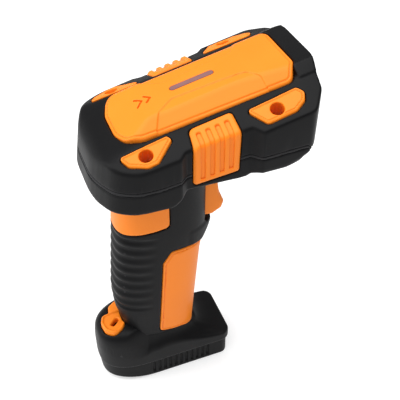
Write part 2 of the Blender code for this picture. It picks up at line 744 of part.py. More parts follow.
def trigger_parts():
    body = plate("trigger", rounded(TRIGGER), -TRIGGER_HALF, TRIGGER_HALF, side_frame())
    body = cut(body, pivot_rod("hole", PIN_R + 0.06, 30))
    body = cut(body, box("spring_room", (-5, -3.4, 130), (10.2, 3.4, 150)))
    pin = pivot_rod("trigger_pin", PIN_R, 10.2)
    bracket = box("switch_bracket", (-2.0, -8.4, 101), (0.4, 8.4, 129))
    hole = Matrix.Translation((0, 0, SWITCH_Z)) @ Matrix.Rotation(math.pi / 2, 4, "Y")
    bracket = cut(bracket, disc("hole", 1.8, -10, 10, hole))
    switch = box("switch_body", (-12.5, -5.5, SWITCH_Z - 6), (-2.3, 5.5, SWITCH_Z + 6))
    switch = cut(switch, disc("bore", 1.7, -8.5, 10, hole))
    plunger = disc("switch_plunger", 1.5, -5.6, 3.3, hole, sides=20)
    return [wear(body, orange()), wear(pin, steel()), trigger_spring(),
            wear(bracket, black_plastic()), wear(switch, black_plastic()),
            wear(plunger, material("plunger_red", (0.5, 0.03, 0.02), 0.4))]


# ---------------------------------------------------------------- power and handle internals

def power_parts():
    axis = Matrix.Translation((CELL_X, 0, 0))
    cell = disc("battery_cell", CELL_R, 24, 87.6, axis, sides=28)
    cell = join(cell, disc("nub", 3.0, 87.5, 89, axis, sides=16))
    top = box("battery_contact_top", (-6, -6, 89.4), (6, 6, 90), axis)
    sheath = disc("battery_sleeve", CELL_R + 0.6, 27, 84, axis, sides=28)
    sheath = cut(sheath, disc("bore", CELL_R + 0.25, 10, 99, axis, sides=28))
    board = box("handle_board", (-10.9, -8.0, 34), (-9.5, 8.0, 92))
    motor_frame = Matrix.Translation((-5.2, 0, 0))
    motor = disc("vibration_motor", 3.2, 62, 76, motor_frame, sides=20)
    return [wear(cell, material("battery_wrap", (0.05, 0.2, 0.45), 0.35)), wear(top, brass()),
            wear(sheath, material("insulator", (0.75, 0.72, 0.62), 0.6)),
            wear(board, circuit_board()), wear(motor, steel())]


# ---------------------------------------------------------------- foot

def foot_ring(z, inset, count=20):
    """Foot outline: an oval back, straight sides and a front with round corners."""
    half = FOOT_HALF - inset
    ring = []
    for step in range(1, count):
        angle = math.pi / 2 + math.pi * step / count
        c, s = math.cos(angle), math.sin(angle)
        x = FOOT_ROUND_X - (FOOT_ROUND - inset) * abs(c) ** (2 / OVAL)
        ring.append((x, half * math.copysign(abs(s) ** (2 / OVAL), s), z))
    corner = 5.5
    front = FOOT_FRONT - inset
    for side in (-1, 1):
        for step in range(5):
            angle = math.radians(22.5 * step)
            turn = angle - math.pi / 2 if side < 0 else angle
            ring.append((front - corner + corner * math.cos(turn),
                         side * (half - corner) + corner * math.sin(turn), z))
    return ring


def skirt_profile(crest_x):
    """Height of the skirt's wall at one x, and how far that place belongs to the domed rear."""
    wall = FOOT_LIP
    for (x_high, high), (x_low, low) in zip(CREST, CREST[1:]):
        if x_low <= crest_x <= x_high:
            wall = high + (low - high) * (x_high - crest_x) / (x_high - x_low)
    rear = min(max((-24 - crest_x) / 18, 0.0), 1.0)
    rear = rear * rear * (3 - 2 * rear)
    return wall, rear


def skirt_ring(step, count):
    """One ring from the crest (step 0) to inside the handle (the last step)."""
    t = step / count
    ring = []
    for x, y, _ in foot_ring(0, 0.5):
        wall, rear = skirt_profile(x)
        dx, dy = x - SKIRT_MIDDLE, y
        root = (abs(dx / SKIRT_REACH) ** OVAL + abs(dy / SKIRT_HALF) ** OVAL) ** (-1 / OVAL)
        flat, steep = math.sin(math.pi / 2 * t), 1 - math.cos(math.pi / 2 * t)
        travel = (1 - rear) * flat + rear * (1 - max(1 - steep, 0) ** 0.75)
        rise = (1 - rear) * steep + rear * flat ** 0.75
        scale = 1 + (root - 1) * travel
        top = SKIRT_TOP + SKIRT_DOME * rear
        ring.append((SKIRT_MIDDLE + dx * scale, dy * scale, wall + (top - wall) * rise))
    return ring


def foot_band(name, outer, inner, low, high):
    """A ring that follows the rim of the cap, between two insets from its side."""
    band = loft(name, [foot_ring(low, CAP_INSET + outer), foot_ring(high, CAP_INSET + outer)])
    hole = loft("hole", [foot_ring(low - 1, CAP_INSET + inner), foot_ring(high + 1, CAP_INSET + inner)])
    return cut(band, hole)


def foot_skirt():
    """The rubber boot of the foot, sweeping up around the bottom of the handle."""
    brow = [(x, y, skirt_profile(x)[0] - 1.2) for x, y, _ in foot_ring(0, 0.0)]
    rings = [foot_ring(FOOT_LOW, 0.0), brow] + [skirt_ring(step, 6) for step in range(7)]
    skirt = loft("foot_skirt", rings)
    skirt = cut(skirt, handle_solid("grip_room", GAP, low=FOOT_TOP, high=60))
    passage = handle_solid("passage", -GRIP_SKIN, low=13.6, high=60)
    passage.matrix_world = Matrix.Translation((0, 0, -2 * MM))
    skirt = cut(skirt, bake(passage))
    skirt = cut(skirt, region("strip", STRIP, GAP / 2))
    skirt = cut(skirt, plate("lug_room", rounded(offset(LUG, GAP)), LUG_LOW - GAP, 60))
    for x, y in FOOT_SCREWS.values():
        pilot = disc("pilot", 1.4, 10, 19.5, Matrix.Translation((x, y, 0)), sides=16)
        skirt = cut(skirt, pilot)
    return wear(skirt, rubber())


def foot_cap():
    """The hard base under the foot, with fluted sides, screw posts and contact holes."""
    rings = [foot_ring(0, CAP_INSET + 2.0), foot_ring(0.8, CAP_INSET + 0.7),
             foot_ring(2.2, CAP_INSET), foot_ring(FOOT_LOW - GAP, CAP_INSET)]
    cap = loft("foot_cap", rings)
    pocket = loft("pocket", [foot_ring(3.2, CAP_INSET + 4.2), foot_ring(20, CAP_INSET + 4.2)])
    cap = cut(cap, pocket)
    for side in (-1, 1):
        low, high = sorted((side * (FOOT_HALF - CAP_INSET - 0.6), side * 30))
        for index in range(FLUTES):
            x = FLUTE_FIRST + index * FLUTE_PITCH
            cap = cut(cap, box("flute", (x, low, 2.6), (x + FLUTE_WIDE, high, 11.6)))
    for x, y in FOOT_SCREWS.values():
        at = Matrix.Translation((x, y, 0))
        cap = join(cap, disc("post", 3.6, 2.0, FOOT_LOW - GAP, at, sides=20))
        cap = cut(cap, disc("shank_hole", 1.4, -1, 20, at, sides=16))
        cap = cut(cap, disc("head_hole", 2.7, -1, 2.4, at, sides=20))
    for x in CONTACTS.values():
        cap = cut(cap, disc("contact_hole", 1.6, -1, 10, Matrix.Translation((x, 0, 0)), sides=16))
    cap = cut(cap, foot_band("groove", 1.1, 2.7, FOOT_LOW - 1.3, FOOT_LOW + 1))
    return wear(cap, black_plastic())


def foot_screw(label, x, y):
    at = Matrix.Translation((x, y, 0))
    screw = disc("foot_screw_" + label, 2.4, 0.6, 2.1, at, sides=18)
    screw = join(screw, disc("shank", 1.1, 2.0, 18.5, at, sides=12))
    slot = box("slot", (-0.3, -1.8, 0), (0.3, 1.8, 1.2), at)
    return wear(cut(screw, slot), steel())


def charge_contact(label, x):
    at = Matrix.Translation((x, 0, 0))
    return wear(disc("charge_contact_" + label, 1.4, 0.3, 5.2, at, sides=16), brass())


def foot_parts():
    made = [foot_screw(label, x, y) for label, (x, y) in FOOT_SCREWS.items()]
    made += [charge_contact(label, x) for label, x in CONTACTS.items()]
    seal = foot_band("foot_seal", 1.3, 2.5, FOOT_LOW - 1.1, FOOT_LOW - GAP)
    return made + [foot_skirt(), foot_cap(), wear(seal, seal_rubber())]


def lanyard_lug():
    """Orange tab with the lanyard hole, let into the hollow above the foot."""
    body = plate("lanyard_lug", rounded(LUG), LUG_LOW, LUG_HIGH)
    body = cut(body, handle_solid("handle", GAP))
    body = cut(body, plate("hole", rounded(LUG_HOLE), 20, 60))
    return wear(body, orange())


# ---------------------------------------------------------------- assembly

def set_origin(body, point):
    """Move an object's origin to a point without moving its shape."""
    shift = Vector(point) * MM
    body.data.transform(Matrix.Translation(-shift))
    body.location = shift


def main():
    clear_scene()
    pieces = head_shells() + [top_panel(), light_guide()]
    for side, label in ((1, "left"), (-1, "right")):
        for place in PADS:
            pieces.append(screw_pad(place, side, label))
            pieces.append(head_screw(place, side, label))
        pieces.append(side_grip(side, label))
    pieces += scan_front() + engine_parts() + head_boards()
    pieces += handle_parts() + trigger_parts() + power_parts() + foot_parts() + [lanyard_lug()]

    scanner = bpy.data.collections.new("handheld_scanner")
    bpy.context.scene.collection.children.link(scanner)
    for piece in pieces:
        for holder in list(piece.users_collection):
            holder.objects.unlink(piece)
        scanner.objects.link(piece)
        if piece.name == "trigger":
            set_origin(piece, (PIVOT_X, 0, PIVOT_Z))
        if piece.name == "switch_plunger":
            set_origin(piece, (0, 0, SWITCH_Z))


if __name__ == "__main__":
    main()
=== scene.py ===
"""Looks of the pistol-grip handheld scanner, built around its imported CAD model.

Each visible moulding is drawn as a smooth field (negative inside) in millimetres and skinned with
a surface net, which gives it soft edges, grooves and recesses. Inner parts keep their CAD shape.
Corners in an outline are (x, y, radius). A name that ends in EDGE is how far an edge is rounded,
and a name that ends in FILLET is how far an inner corner is filled.
"""
import itertools
import json
import math

import bpy
import numpy as np
from mathutils import Matrix, Vector

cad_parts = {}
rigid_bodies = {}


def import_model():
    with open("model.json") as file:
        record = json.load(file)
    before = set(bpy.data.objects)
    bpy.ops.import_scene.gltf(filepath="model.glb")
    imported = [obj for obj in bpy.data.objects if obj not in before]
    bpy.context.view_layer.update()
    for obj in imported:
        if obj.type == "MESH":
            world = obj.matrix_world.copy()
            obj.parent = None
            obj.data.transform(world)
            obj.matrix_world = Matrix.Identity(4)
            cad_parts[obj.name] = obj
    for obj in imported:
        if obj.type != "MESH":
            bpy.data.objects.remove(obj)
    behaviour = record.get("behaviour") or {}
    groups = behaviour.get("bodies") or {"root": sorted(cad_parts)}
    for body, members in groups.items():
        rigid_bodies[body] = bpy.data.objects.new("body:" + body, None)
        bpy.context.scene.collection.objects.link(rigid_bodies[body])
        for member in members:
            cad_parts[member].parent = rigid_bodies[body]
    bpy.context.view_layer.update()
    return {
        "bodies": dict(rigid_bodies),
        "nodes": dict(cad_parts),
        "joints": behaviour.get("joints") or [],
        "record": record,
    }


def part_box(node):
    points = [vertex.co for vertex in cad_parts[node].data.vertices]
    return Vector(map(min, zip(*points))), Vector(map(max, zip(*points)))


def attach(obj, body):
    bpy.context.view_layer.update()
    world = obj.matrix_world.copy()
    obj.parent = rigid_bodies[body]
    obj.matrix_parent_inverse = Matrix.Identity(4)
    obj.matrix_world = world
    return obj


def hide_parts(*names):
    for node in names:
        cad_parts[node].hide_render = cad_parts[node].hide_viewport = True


MM = 0.001
GAP = 0.3                           # clearance between neighbouring mouldings
OVAL = 2.5                          # power of the oval sections of handle and foot

# Sampling steps of the surface nets, and the share of faces that the thinning keeps
SHELL_STEP, RUBBER_STEP, TRIM_STEP, CAP_STEP, LEVER_STEP, FINE_STEP = 0.5, 0.45, 0.4, 0.35, 0.33, 0.28
SHARE, FINE_SHARE = 0.4, 0.5

# Head
PITCH = math.radians(12.7)
DECK_X, DECK_Z, DECK_H, DECK_HALF = -26.1, 163.0, 3.0, 19.2
SHOULDER = math.radians(20)
REAR_X, WALL, SEAM_STEP, SEAM_GAP, SEAM_SUNK = -49.2, 2.4, 1.5, 0.1, 0.08
HEAD_PLAN = [(-60, 33.0, 0), (-13.5, 33.2, 1.6), (-10.5, 30.8, 1.6), (18, 32.4, 1.6),
             (21.5, 36.6, 2), (45.2, 36.6, 5), (51.2, 28, 5), (54.2, 8, 14)]
REAR_PLAN = [(-49.4, 9, 25), (-47.0, 18, 20), (-43.0, 27.0, 14), (-34, 32.6, 20), (-10, 34.5, 0),
             (90, 60, 0)]
REAR_LEAN, REAR_LEAN_Z = 0.15, 138.0
HEAD_SIDE = [(REAR_X, 138.6, 2.5), (-17, 138.6, 4), (-10, 144.5, 4), (17.0, 144.9, 0),
             (21.6, 147.3, 0), (41, 147.6, 5), (46.6, 152.5, 5), (56.1, 199, 0),
             (REAR_X + 3.2, 159.9, 12)]
SEAM_LINE = [(-60, 148.6), (-22, 150.6), (16, 156.8), (42.5, 158.0), (45.5, 155.4), (60, 155.2)]
SEAM_BELOW, SEAM_ABOVE = 2, 1       # room around the seam line for the gasket
COLLAR_S = 72.6
COLLAR = [(-20.4, -9, 0), (20.4, -9, 0), (20.4, 3.2, 1), (15.2, 6.4, 1), (-15.2, 6.4, 1),
          (-20.4, 3.2, 1)]

# How round the head's edges are; the ranges say where a rounding fades in
SIDE_EDGE, REAR_EDGE, DECK_EDGE, COLLAR_EDGE, COLLAR_FILLET = 0.3, 1.2, 1.6, 0.8, 1.2
SHOULDER_EDGE, SHOULDER_EDGE_REAR, SHOULDER_RANGE = 1.2, 0.5, (10, 34)
UNDER_EDGE, UNDER_EDGE_FRONT, UNDER_EDGE_CORNER = 1.0, 2.0, 5.0
UNDER_Z, FRONT_X, CORNER_X, CORNER_Y = (150, 160), (12, 22), (32, 44), (20, 30)
RECESS_EDGE, SEAT_EDGE, SEAM_EDGE, NECK_EDGE = 0.6, 0.7, 0.3, 0.5

# Top panel, drawn in the head frame: s forward, y left, h up
PANEL = [(-7.8, 7.5, 12), (-4.8, 15.4, 7), (1.5, 18.5, 8), (12, 18.9, 0), (69.4, 20.2, 4),
         (74.2, 12.5, 5)]
PANEL_ROOF = [(-24, -5, 0), (24, -5, 0), (24, -0.3, 0), (18.9, 3.5, 0), (12.0, 8.6, 0),
              (-12.0, 8.6, 0), (-18.9, 3.5, 0), (-24, -0.3, 0)]
PANEL_CROWN = [(-12, -5, 0), (84, -5, 0), (84, 5.3, 0), (46, 8.5, 60), (8, 8.5, 12), (-12, 1.2, 0)]
PANEL_THICK, PANEL_EDGE, ROOF_EDGE = 1.7, 0.9, 1.2
PANEL_BOX = ((-8, -21, 0), (76, 21, 9))
FACET = [(8.8, 24, 0), (8.8, 17.5, 2), (12.9, 11.5, 3), (20.3, 6.4, 2), (53.6, 8.4, 3),
         (58.3, 14, 3), (58.6, 24, 0)]
FACET_DEPTH, FACET_EDGE = 0.45, 0.35
RIM_INSET, RIM_HALF, RIM_DEPTH, RIM_EDGE = 1.2, 0.25, 0.35, 0.2
CHEVRONS = [(8.9, 6.1, 2.8), (12.8, 10.5, 2.3)]     # tip s, end s, half width
CHEVRON_HALF, CHEVRON_DEPTH, CHEVRON_EDGE = 0.45, 1.4, 0.1
LAMP_SLOT = [(21.8, -1.6, 1.5), (42.4, -1.6, 1.5), (42.4, 1.6, 1.5), (21.8, 1.6, 1.5)]
LAMP_GAP, LAMP_EDGE = 0.2, 0.4

# Screw pads on the shoulders, each with its well's place (s, y)
REAR_PAD = [(-10.4, 22.0, 1.2), (-8.0, 27.0, 2), (-1.0, 30.6, 2.5), (3.6, 30.4, 1.5),
            (12.6, 23.4, 1), (11.4, 21.1, 1)]
FRONT_PAD = [(45.6, 24.8, 1.2), (51.2, 33.6, 2), (64.4, 33.2, 2.5), (69.6, 30.4, 2.5),
             (71.4, 27.0, 2), (69.2, 23.8, 1.5)]
PADS = {"rear": (REAR_PAD, 0.2, 25.6), "front": (FRONT_PAD, 57.6, 29.2)}
PAD_PROUD, PAD_SEAT, PAD_EXTRA = 0.4, -6.5, 1
PAD_CHAMFER, PAD_CHAMFER_OUTER, PAD_CHAMFER_RANGE = 0.2, 0.4, (-2, 2)
PAD_LINE_INSET, PAD_LINE_HALF, PAD_LINE_DEPTH, PAD_LINE_EDGE = 0.95, 0.22, 0.35, 0.15
WELL_R, WELL_DEPTH, WELL_EDGE = 3.05, 12.3, 0.5
BOSS_WALL, BOSS_FLOOR, SHANK_R = 1.2, 2.2, 1.3
PAD_ROOM_S, PAD_ROOM_Y, PAD_ROOM_H = 3, 4, (-16, 6)

# Side grips
SIDE_GRIP = [(-7.6, 146.6, 1.5), (12.8, 149.8, 1.5), (13.2, 168, 0), (12, 178.5, 2.5),
             (-5, 174.5, 2.5), (-7.4, 165, 0)]
GRIP_INNER_Y, GRIP_PROUD, GRIP_DEPTH, GRIP_CHAMFER, GRIP_CORNER = 22.3, 0.8, 1.1, 0.9, 2.0
GROOVES, GROOVE_FIRST, GROOVE_PITCH, GROOVE_HALF = 4, -3.5, 4.15, 1.0
GROOVE_LOW, GROOVE_INSET, GROOVE_DEPTH, GROOVE_CORNER, GROOVE_EDGE = 150.2, 3.2, 0.9, 0.8, 0.5

# Scan window, in a frame whose z points out of the front
FRONT_AT, FRONT_LEAN = (50.0, 0, 166.5), math.atan2(9.9, 49.0)
WINDOW = [(-22, -10, 3), (22, -10, 3), (22, 10, 3), (-22, 10, 3)]
WINDOW_CUT = (-5.5, 14)
BEZEL_LOW, BEZEL_HIGH, BEZEL_EDGE, BEZEL_INNER_EDGE = -5.0, 0.6, 0.9, 0.4
BEZEL_RIM, BEZEL_FLARE, BEZEL_SCALE = 5.0, 0.5, 0.9     # the scale makes the flare's slope a distance
GLASS_RIM, GLASS_SEAT = 3.0, 2.0
BEZEL_BOX = ((-22, -10, -5), (22, 10, 0.6))

# Handle: (z, rear x, front x, half width)
HANDLE = [(13.6, -40.5, 0.6, 14.2), (30, -38.6, 0.6, 14.4), (40, -38.8, 1.4, 14.6),
          (50, -41.0, 2.3, 14.8), (62, -41.8, 3.4, 15.0), (84, -39.9, 5.4, 15.2),
          (97, -38.7, 7.6, 15.4), (104, -38.1, 9.0, 15.6), (120, -36.6, 9.0, 16.0),
          (148.5, -34.0, 9.0, 16.8)]
GRIP_SKIN, GRIP_EDGE = 1.9, 0.5
RIB_PITCH, RIB_DEPTH, RIB_LOW, RIB_HIGH, RIB_FADE = 6.0, 0.9, 56.0, 104.0, 2
RIB_START, RIB_SPREAD, RIB_POWER = 0.2, 0.6, 0.8        # how the ribs grow towards the back
CHIN = [(-2, 89.5, 0), (3.4, 91.4, 3), (13.0, 99.6, 1.2), (11.0, 101.2, 0.8), (-2, 101.2, 0)]
CHIN_X, CHIN_REACH, CHIN_HALF, CHIN_EDGE, CHIN_FILLET = -11.6, 24.2, 14.6, 1.8, 2.6
SADDLE = [(-60, 107.6, 0), (-36, 107.0, 14), (-13.6, 110.6, 3), (-13.6, 160, 0), (-60, 160, 0)]
SADDLE_LOW = 100
STRIP = [(-21.4, 35.0, 2), (-9, 32.5, 4), (2, 26.5, 0), (30, 26.5, 0), (30, 91.5, 0), (3, 92.5, 4),
         (-13.2, 93.6, 3), (-17.8, 86.6, 3)]
STRIP_LOW, STRIP_PROUD, STRIP_EDGE, TRIM_CHAMFER = 26, 0.3, 0.4, 0.5
STRIP_LINE_INSET, STRIP_LINE_HALF, STRIP_LINE_DEPTH, STRIP_LINE_EDGE = 1.5, 0.3, 0.5, 0.2
STRIP_LINE_FRONT = 12

# Trigger
TRIGGER = [(2.4, 135, 2), (4.6, 112, 2), (5.8, 104.0, 1.5), (11, 103.4, 2), (16.2, 106.2, 1.5),
           (17.5, 110, 1.8), (14.9, 117, 10), (13.8, 126, 12), (13.6, 142.6, 1), (2.4, 142.6, 3)]
TRIGGER_HALF, TRIGGER_EDGE = 7.6, 2.4
PIVOT_X, PIVOT_Z, PIN_R, PIN_FIT, PIN_REACH = 5.5, 139.0, 1.5, 0.06, 10.5
SLOT_BACK, SLOT_HALF, SLOT_LOW, SLOT_HIGH, SLOT_CORNER, SLOT_EDGE = 0.8, 8.2, 101.2, 146.2, 1.0, 0.8
HOLLOW_FRONT, HOLLOW_HALF, HOLLOW_LOW, HOLLOW_EDGE = 10.2, 3.4, 130, 0.4

# Foot
FOOT_LOW, FOOT_TOP = 13.2, 33.0
FOOT_HALF, FOOT_FRONT, FOOT_ROUND_X, FOOT_ROUND, FOOT_CORNER = 17.3, 19.6, -27.8, 25.964, 5.5
OVAL_STEPS, CORNER_STEPS = 80, 12
BOOT_CREST = [(-55, 29.0), (-49.9, 27.5), (-43.8, 25.5), (-35.8, 23.5), (-24.8, 21.8), (-9.5, 20.6),
              (19.6, 19.3), (30, 19.3)]                 # where the boot's wall ends: x, z
BOOT_MIDDLE, BOOT_REACH, BOOT_HALF, BOOT_TOP, BOOT_DOME = -19.0, 18.6, 13.4, 34.0, 4.9
BOOT_INSET, BOOT_REAR, BOOT_POWER, BOOT_HALVINGS = 0.1, (24, 42), 0.75, 18
BOOT_STEEPEST, BOOT_EDGE, BOOT_LOW_EDGE = 3, 1.6, 0.8
BOOT_BITE = 0.7                     # how deep the boot runs into the grip's rubber
CAP_INSET, CAP_WALL, CAP_FLOOR, CAP_EDGE = 1.2, 4.2, 3.2, 0.6
CAP_CHAMFER, CAP_CHAMFER_REAR, CAP_REAR = 0.6, 3.2, (-50, -24)
FLUTES, FLUTE_FIRST, FLUTE_PITCH, FLUTE_WIDE = 11, -27.0, 3.2, 1.4
FLUTE_Z, FLUTE_DEPTH, FLUTE_EDGE = (2.6, 11.6), 0.7, 0.4
FOOT_SCREWS = [(13.0, 8.0), (13.0, -8.0), (-47.0, 0.0)]
PILOT_R, PILOT_TOP, POST_R, POST_LOW = 1.4, 19.5, 3.6, 2.0
SCREW_ROOM_R, SCREW_ROOM_TOP = 2.7, 2.4
CONTACTS, CONTACT_R, HOLE_EDGE = [-2.5, 2.5], 1.6, 0.3
SEAL_BAND, SEAL_DEPTH = (1.1, 2.7), 1.3

# Lanyard lug
LUG = [(-36.9, -4, 0), (-36.9, 9, 0), (-37.2, 11.4, 0.8), (-39.8, 11.0, 1), (-43.8, 8.4, 3),
       (-44.6, 4.0, 1.2), (-48.6, 3.4, 2.5), (-50.3, -1.0, 4), (-49.4, -6.4, 4), (-45.0, -10.6, 4),
       (-40.2, -8.6, 4)]
LUG_LOW, LUG_HIGH, LUG_EDGE, LUG_ROOM_EDGE = 34.6, 39.8, 1.6, 0.5
LUG_RIM, LUG_DISH, LUG_DISH_Y, LUG_DISH_CORNER, LUG_DISH_EDGE = 1.3, 0.9, 3.0, 0.8, 1.0
LUG_HOLE, LUG_HOLE_HALF, LUG_HOLE_EDGE = ((-44.3, -3.9), (-41.7, -1.7)), 1.1, 1.0

# Camera, in metres
CAMERA_AT = (-0.0871, -0.2416, 0.3384)
CAMERA_TILT, CAMERA_TURN, CAMERA_LENS = math.radians(48.4), math.radians(-21.36), 63.0


# ---------------------------------------------------------------- outlines

def mirrored(half):
    """Close a left-half outline (x, y, radius) with its mirror image, counter-clockwise."""
    return [(x, -y, r) for x, y, r in half] + [(x, y, r) for x, y, r in reversed(half)]


def rounded(outline, degrees=7.5):
    """Turn (x, y, radius) corners into points, with arcs where the radius isn't zero."""
    straight, most = 0.02, 0.48     # a turn too small to round, an arc's most of a side
    points = []
    count = len(outline)
    for i, (x, y, radius) in enumerate(outline):
        here = Vector((x, y))
        back = Vector(outline[i - 1][:2]) - here
        ahead = Vector(outline[(i + 1) % count][:2]) - here
        angle = back.angle(ahead)
        turn = math.pi - angle
        if radius == 0 or turn < straight:
            points.append((x, y))
            continue
        reach = min(radius / math.tan(angle / 2), most * back.length, most * ahead.length)
        radius = reach * math.tan(angle / 2)
        centre = here + (back.normalized() + ahead.normalized()).normalized() * (
            radius / math.sin(angle / 2))
        start = here + back.normalized() * reach - centre
        side = 1 if back.x * ahead.y - back.y * ahead.x < 0 else -1
        steps = max(1, round(math.degrees(turn) / degrees))
        for step in range(steps + 1):
            points.append(tuple(centre + Matrix.Rotation(side * turn * step / steps, 2) @ start))
    return points


def polygon_distance(points, x, y):
    """Signed distance from grid points to a closed polygon, negative inside."""
    best = np.full(np.broadcast(x, y).shape, 1e9, np.float32)
    inside = np.zeros(best.shape, bool)
    for (ax, ay), (bx, by) in zip(points, points[1:] + points[:1]):
        ex, ey = bx - ax, by - ay
        length = ex * ex + ey * ey
        if length < 1e-9:
            continue
        t = np.clip(((x - ax) * ex + (y - ay) * ey) / length, 0, 1)
        best = np.minimum(best, (x - ax - t * ex) ** 2 + (y - ay - t * ey) ** 2)
        if ey:
            crossing = ((ay > y) != (by > y)) & (x < ex * (y - ay) / ey + ax)
            inside ^= crossing
    return np.where(inside, -np.sqrt(best), np.sqrt(best)).astype(np.float32)


class Outline:
    """A flat closed outline as a distance field, read from a fine chart."""

    STEP, MARGIN = 0.3, 4.0

    def __init__(self, corners=None, points=None):
        self.points = points or rounded(corners)
        low = np.min(self.points, 0) - self.MARGIN
        high = np.max(self.points, 0) + self.MARGIN
        self.low = low
        self.size = np.ceil((high - low) / self.STEP).astype(int) + 1
        x = (low[0] + np.arange(self.size[0]) * self.STEP)[:, None]
        y = (low[1] + np.arange(self.size[1]) * self.STEP)[None, :]
        self.chart = polygon_distance(self.points, x, y)

    def __call__(self, a, b):
        a, b = np.broadcast_arrays(a, b)
        u = (a - self.low[0]) / self.STEP
        v = (b - self.low[1]) / self.STEP
        last = self.size - 1.001    # leaves room for the next point of the chart
        cu, cv = np.clip(u, 0, last[0]), np.clip(v, 0, last[1])
        beyond = np.hypot(u - cu, v - cv) * self.STEP
        i, j = cu.astype(np.int32), cv.astype(np.int32)
        fu, fv = cu - i, cv - j
        chart = self.chart
        low = chart[i, j] * (1 - fu) + chart[i + 1, j] * fu
        high = chart[i, j + 1] * (1 - fu) + chart[i + 1, j + 1] * fu
        return low * (1 - fv) + high * fv + beyond


# ---------------------------------------------------------------- fields

def common(a, b, soft=0.0):
    """What is in both, with its new edge rounded over about soft millimetres."""
    if np.isscalar(soft) and soft <= 0:
        return np.maximum(a, b)
    near = np.maximum(soft - np.abs(a - b), 0.0) / soft
    return np.maximum(a, b) + near * near * soft / 4


def join(a, b, soft=0.0):
    """What is in either, with the inner corner between them filled."""
    return -common(-a, -b, soft)


def cut(a, b, soft=0.0):
    """What is in a and not in b, with its new edge rounded."""
    return common(a, -b, soft)


def chamfered(a, b, leg):
    """What is in both, with a flat chamfer along its new edge."""
    return np.maximum(np.maximum(a, b), (a + b + leg) * math.sqrt(0.5))


def slab(value, low, high):
    """What lies between two values."""
    return np.maximum(low - value, value - high)


def engraved(surface, region, depth, soft=0.3):
    """Sink the part of a surface inside a region by a depth."""
    return cut(surface, np.maximum(region, -(surface + depth)), soft)


def fade(value, start, end):
    """0 before start, 1 after end, smooth between."""
    t = np.clip((value - start) / (end - start), 0, 1)
    return t * t * (3 - 2 * t)


def rod(a, b, radius):
    """A round bar seen from its end."""
    return np.hypot(a, b) - radius


def line(distance, inset, half):
    """A band that runs along an outline, a set way inside it."""
    return np.abs(distance + inset) - half


def stroke(x, y, start, end, half):
    """Distance to a straight stroke of a width with round ends."""
    ex, ey = end[0] - start[0], end[1] - start[1]
    t = np.clip(((x - start[0]) * ex + (y - start[1]) * ey) / (ex * ex + ey * ey), 0, 1)
    return np.hypot(x - start[0] - t * ex, y - start[1] - t * ey) - half


# ---------------------------------------------------------------- frames

def head_frame():
    """Origin at the deck's rear end; x forward along the deck, z up from it."""
    return Matrix.Translation((DECK_X, 0, DECK_Z)) @ Matrix.Rotation(-PITCH, 4, "Y")


def front_frame():
    """Origin in the middle of the window; x across, y up, z out of the front."""
    return (Matrix.Translation(FRONT_AT) @ Matrix.Rotation(FRONT_LEAN, 4, "Y")
            @ Matrix.Rotation(math.pi / 2, 4, "Y") @ Matrix.Rotation(math.pi / 2, 4, "Z"))


def moved(frame, x, y, z):
    """Coordinates x, y, z carried through a frame."""
    return tuple(row[0] * x + row[1] * y + row[2] * z + row[3] for row in frame[:3])


def well_frame(place, side):
    """Centre of a screw well; local z leans out with the shoulder."""
    _, s, y = PADS[place]
    h = DECK_H - (y - DECK_HALF) * math.tan(SHOULDER)
    return (head_frame() @ Matrix.Translation((s, side * y, h))
            @ Matrix.Rotation(-side * SHOULDER, 4, "X"))


# ---------------------------------------------------------------- surface net


def surface_net(values):
    """Points (in grid steps) and quads where a sampled field changes sign."""
    inside = values < 0
    cells_shape = tuple(n - 1 for n in values.shape)
    filled = np.zeros(cells_shape, np.int8)
    for corner in itertools.product((0, 1), repeat=3):
        filled += inside[tuple(slice(c, c + n) for c, n in zip(corner, cells_shape))]
    mixed = (filled > 0) & (filled < 8)
    cells = np.argwhere(mixed)
    number = np.full(cells_shape, -1, np.int32)
    number[mixed] = np.arange(len(cells))
    total, hits = np.zeros((len(cells), 3)), np.zeros(len(cells))
    quads = []
    for axis in range(3):
        along = np.eye(3, dtype=int)[axis]
        u, v = np.eye(3, dtype=int)[(axis + 1) % 3], np.eye(3, dtype=int)[(axis + 2) % 3]
        for p, q in itertools.product((0, 1), repeat=2):
            start = cells + p * u + q * v
            near, far = values[tuple(start.T)], values[tuple((start + along).T)]
            crossed = (near < 0) != (far < 0)
            t = near / np.where(crossed, near - far, 1)
            total[crossed] += (start + t[:, None] * along)[crossed]
            hits[crossed] += 1
        changed = inside != np.roll(inside, -1, axis)
        changed[tuple(slice(-1, None) if a == axis else slice(None) for a in range(3))] = False
        edges = np.argwhere(changed)
        limit = np.array(cells_shape)
        kept = np.all((edges - u - v >= 0) | (along == 1), 1) & np.all(edges < limit, 1)
        edges = edges[kept]
        ring = [edges - u - v, edges - v, edges, edges - u]
        faces = np.stack([number[tuple(corner.T)] for corner in ring], 1)
        outward = inside[tuple(edges.T)]
        faces[~outward] = faces[~outward][:, ::-1]
        quads.append(faces[np.all(faces >= 0, 1)])
    return total / np.maximum(hits, 1)[:, None], np.concatenate(quads)


def mesh_from(name, points, quads):
    mesh = bpy.data.meshes.new(name)
    mesh.vertices.add(len(points))
    mesh.vertices.foreach_set("co", points.astype(np.float32).ravel())
    mesh.loops.add(quads.size)
    mesh.loops.foreach_set("vertex_index", quads.astype(np.int32).ravel())
    mesh.polygons.add(len(quads))
    mesh.polygons.foreach_set("loop_start", np.arange(0, quads.size, 4, dtype=np.int32))
    mesh.update(calc_edges=True)
    mesh.validate()
    mesh.shade_smooth()
    return mesh


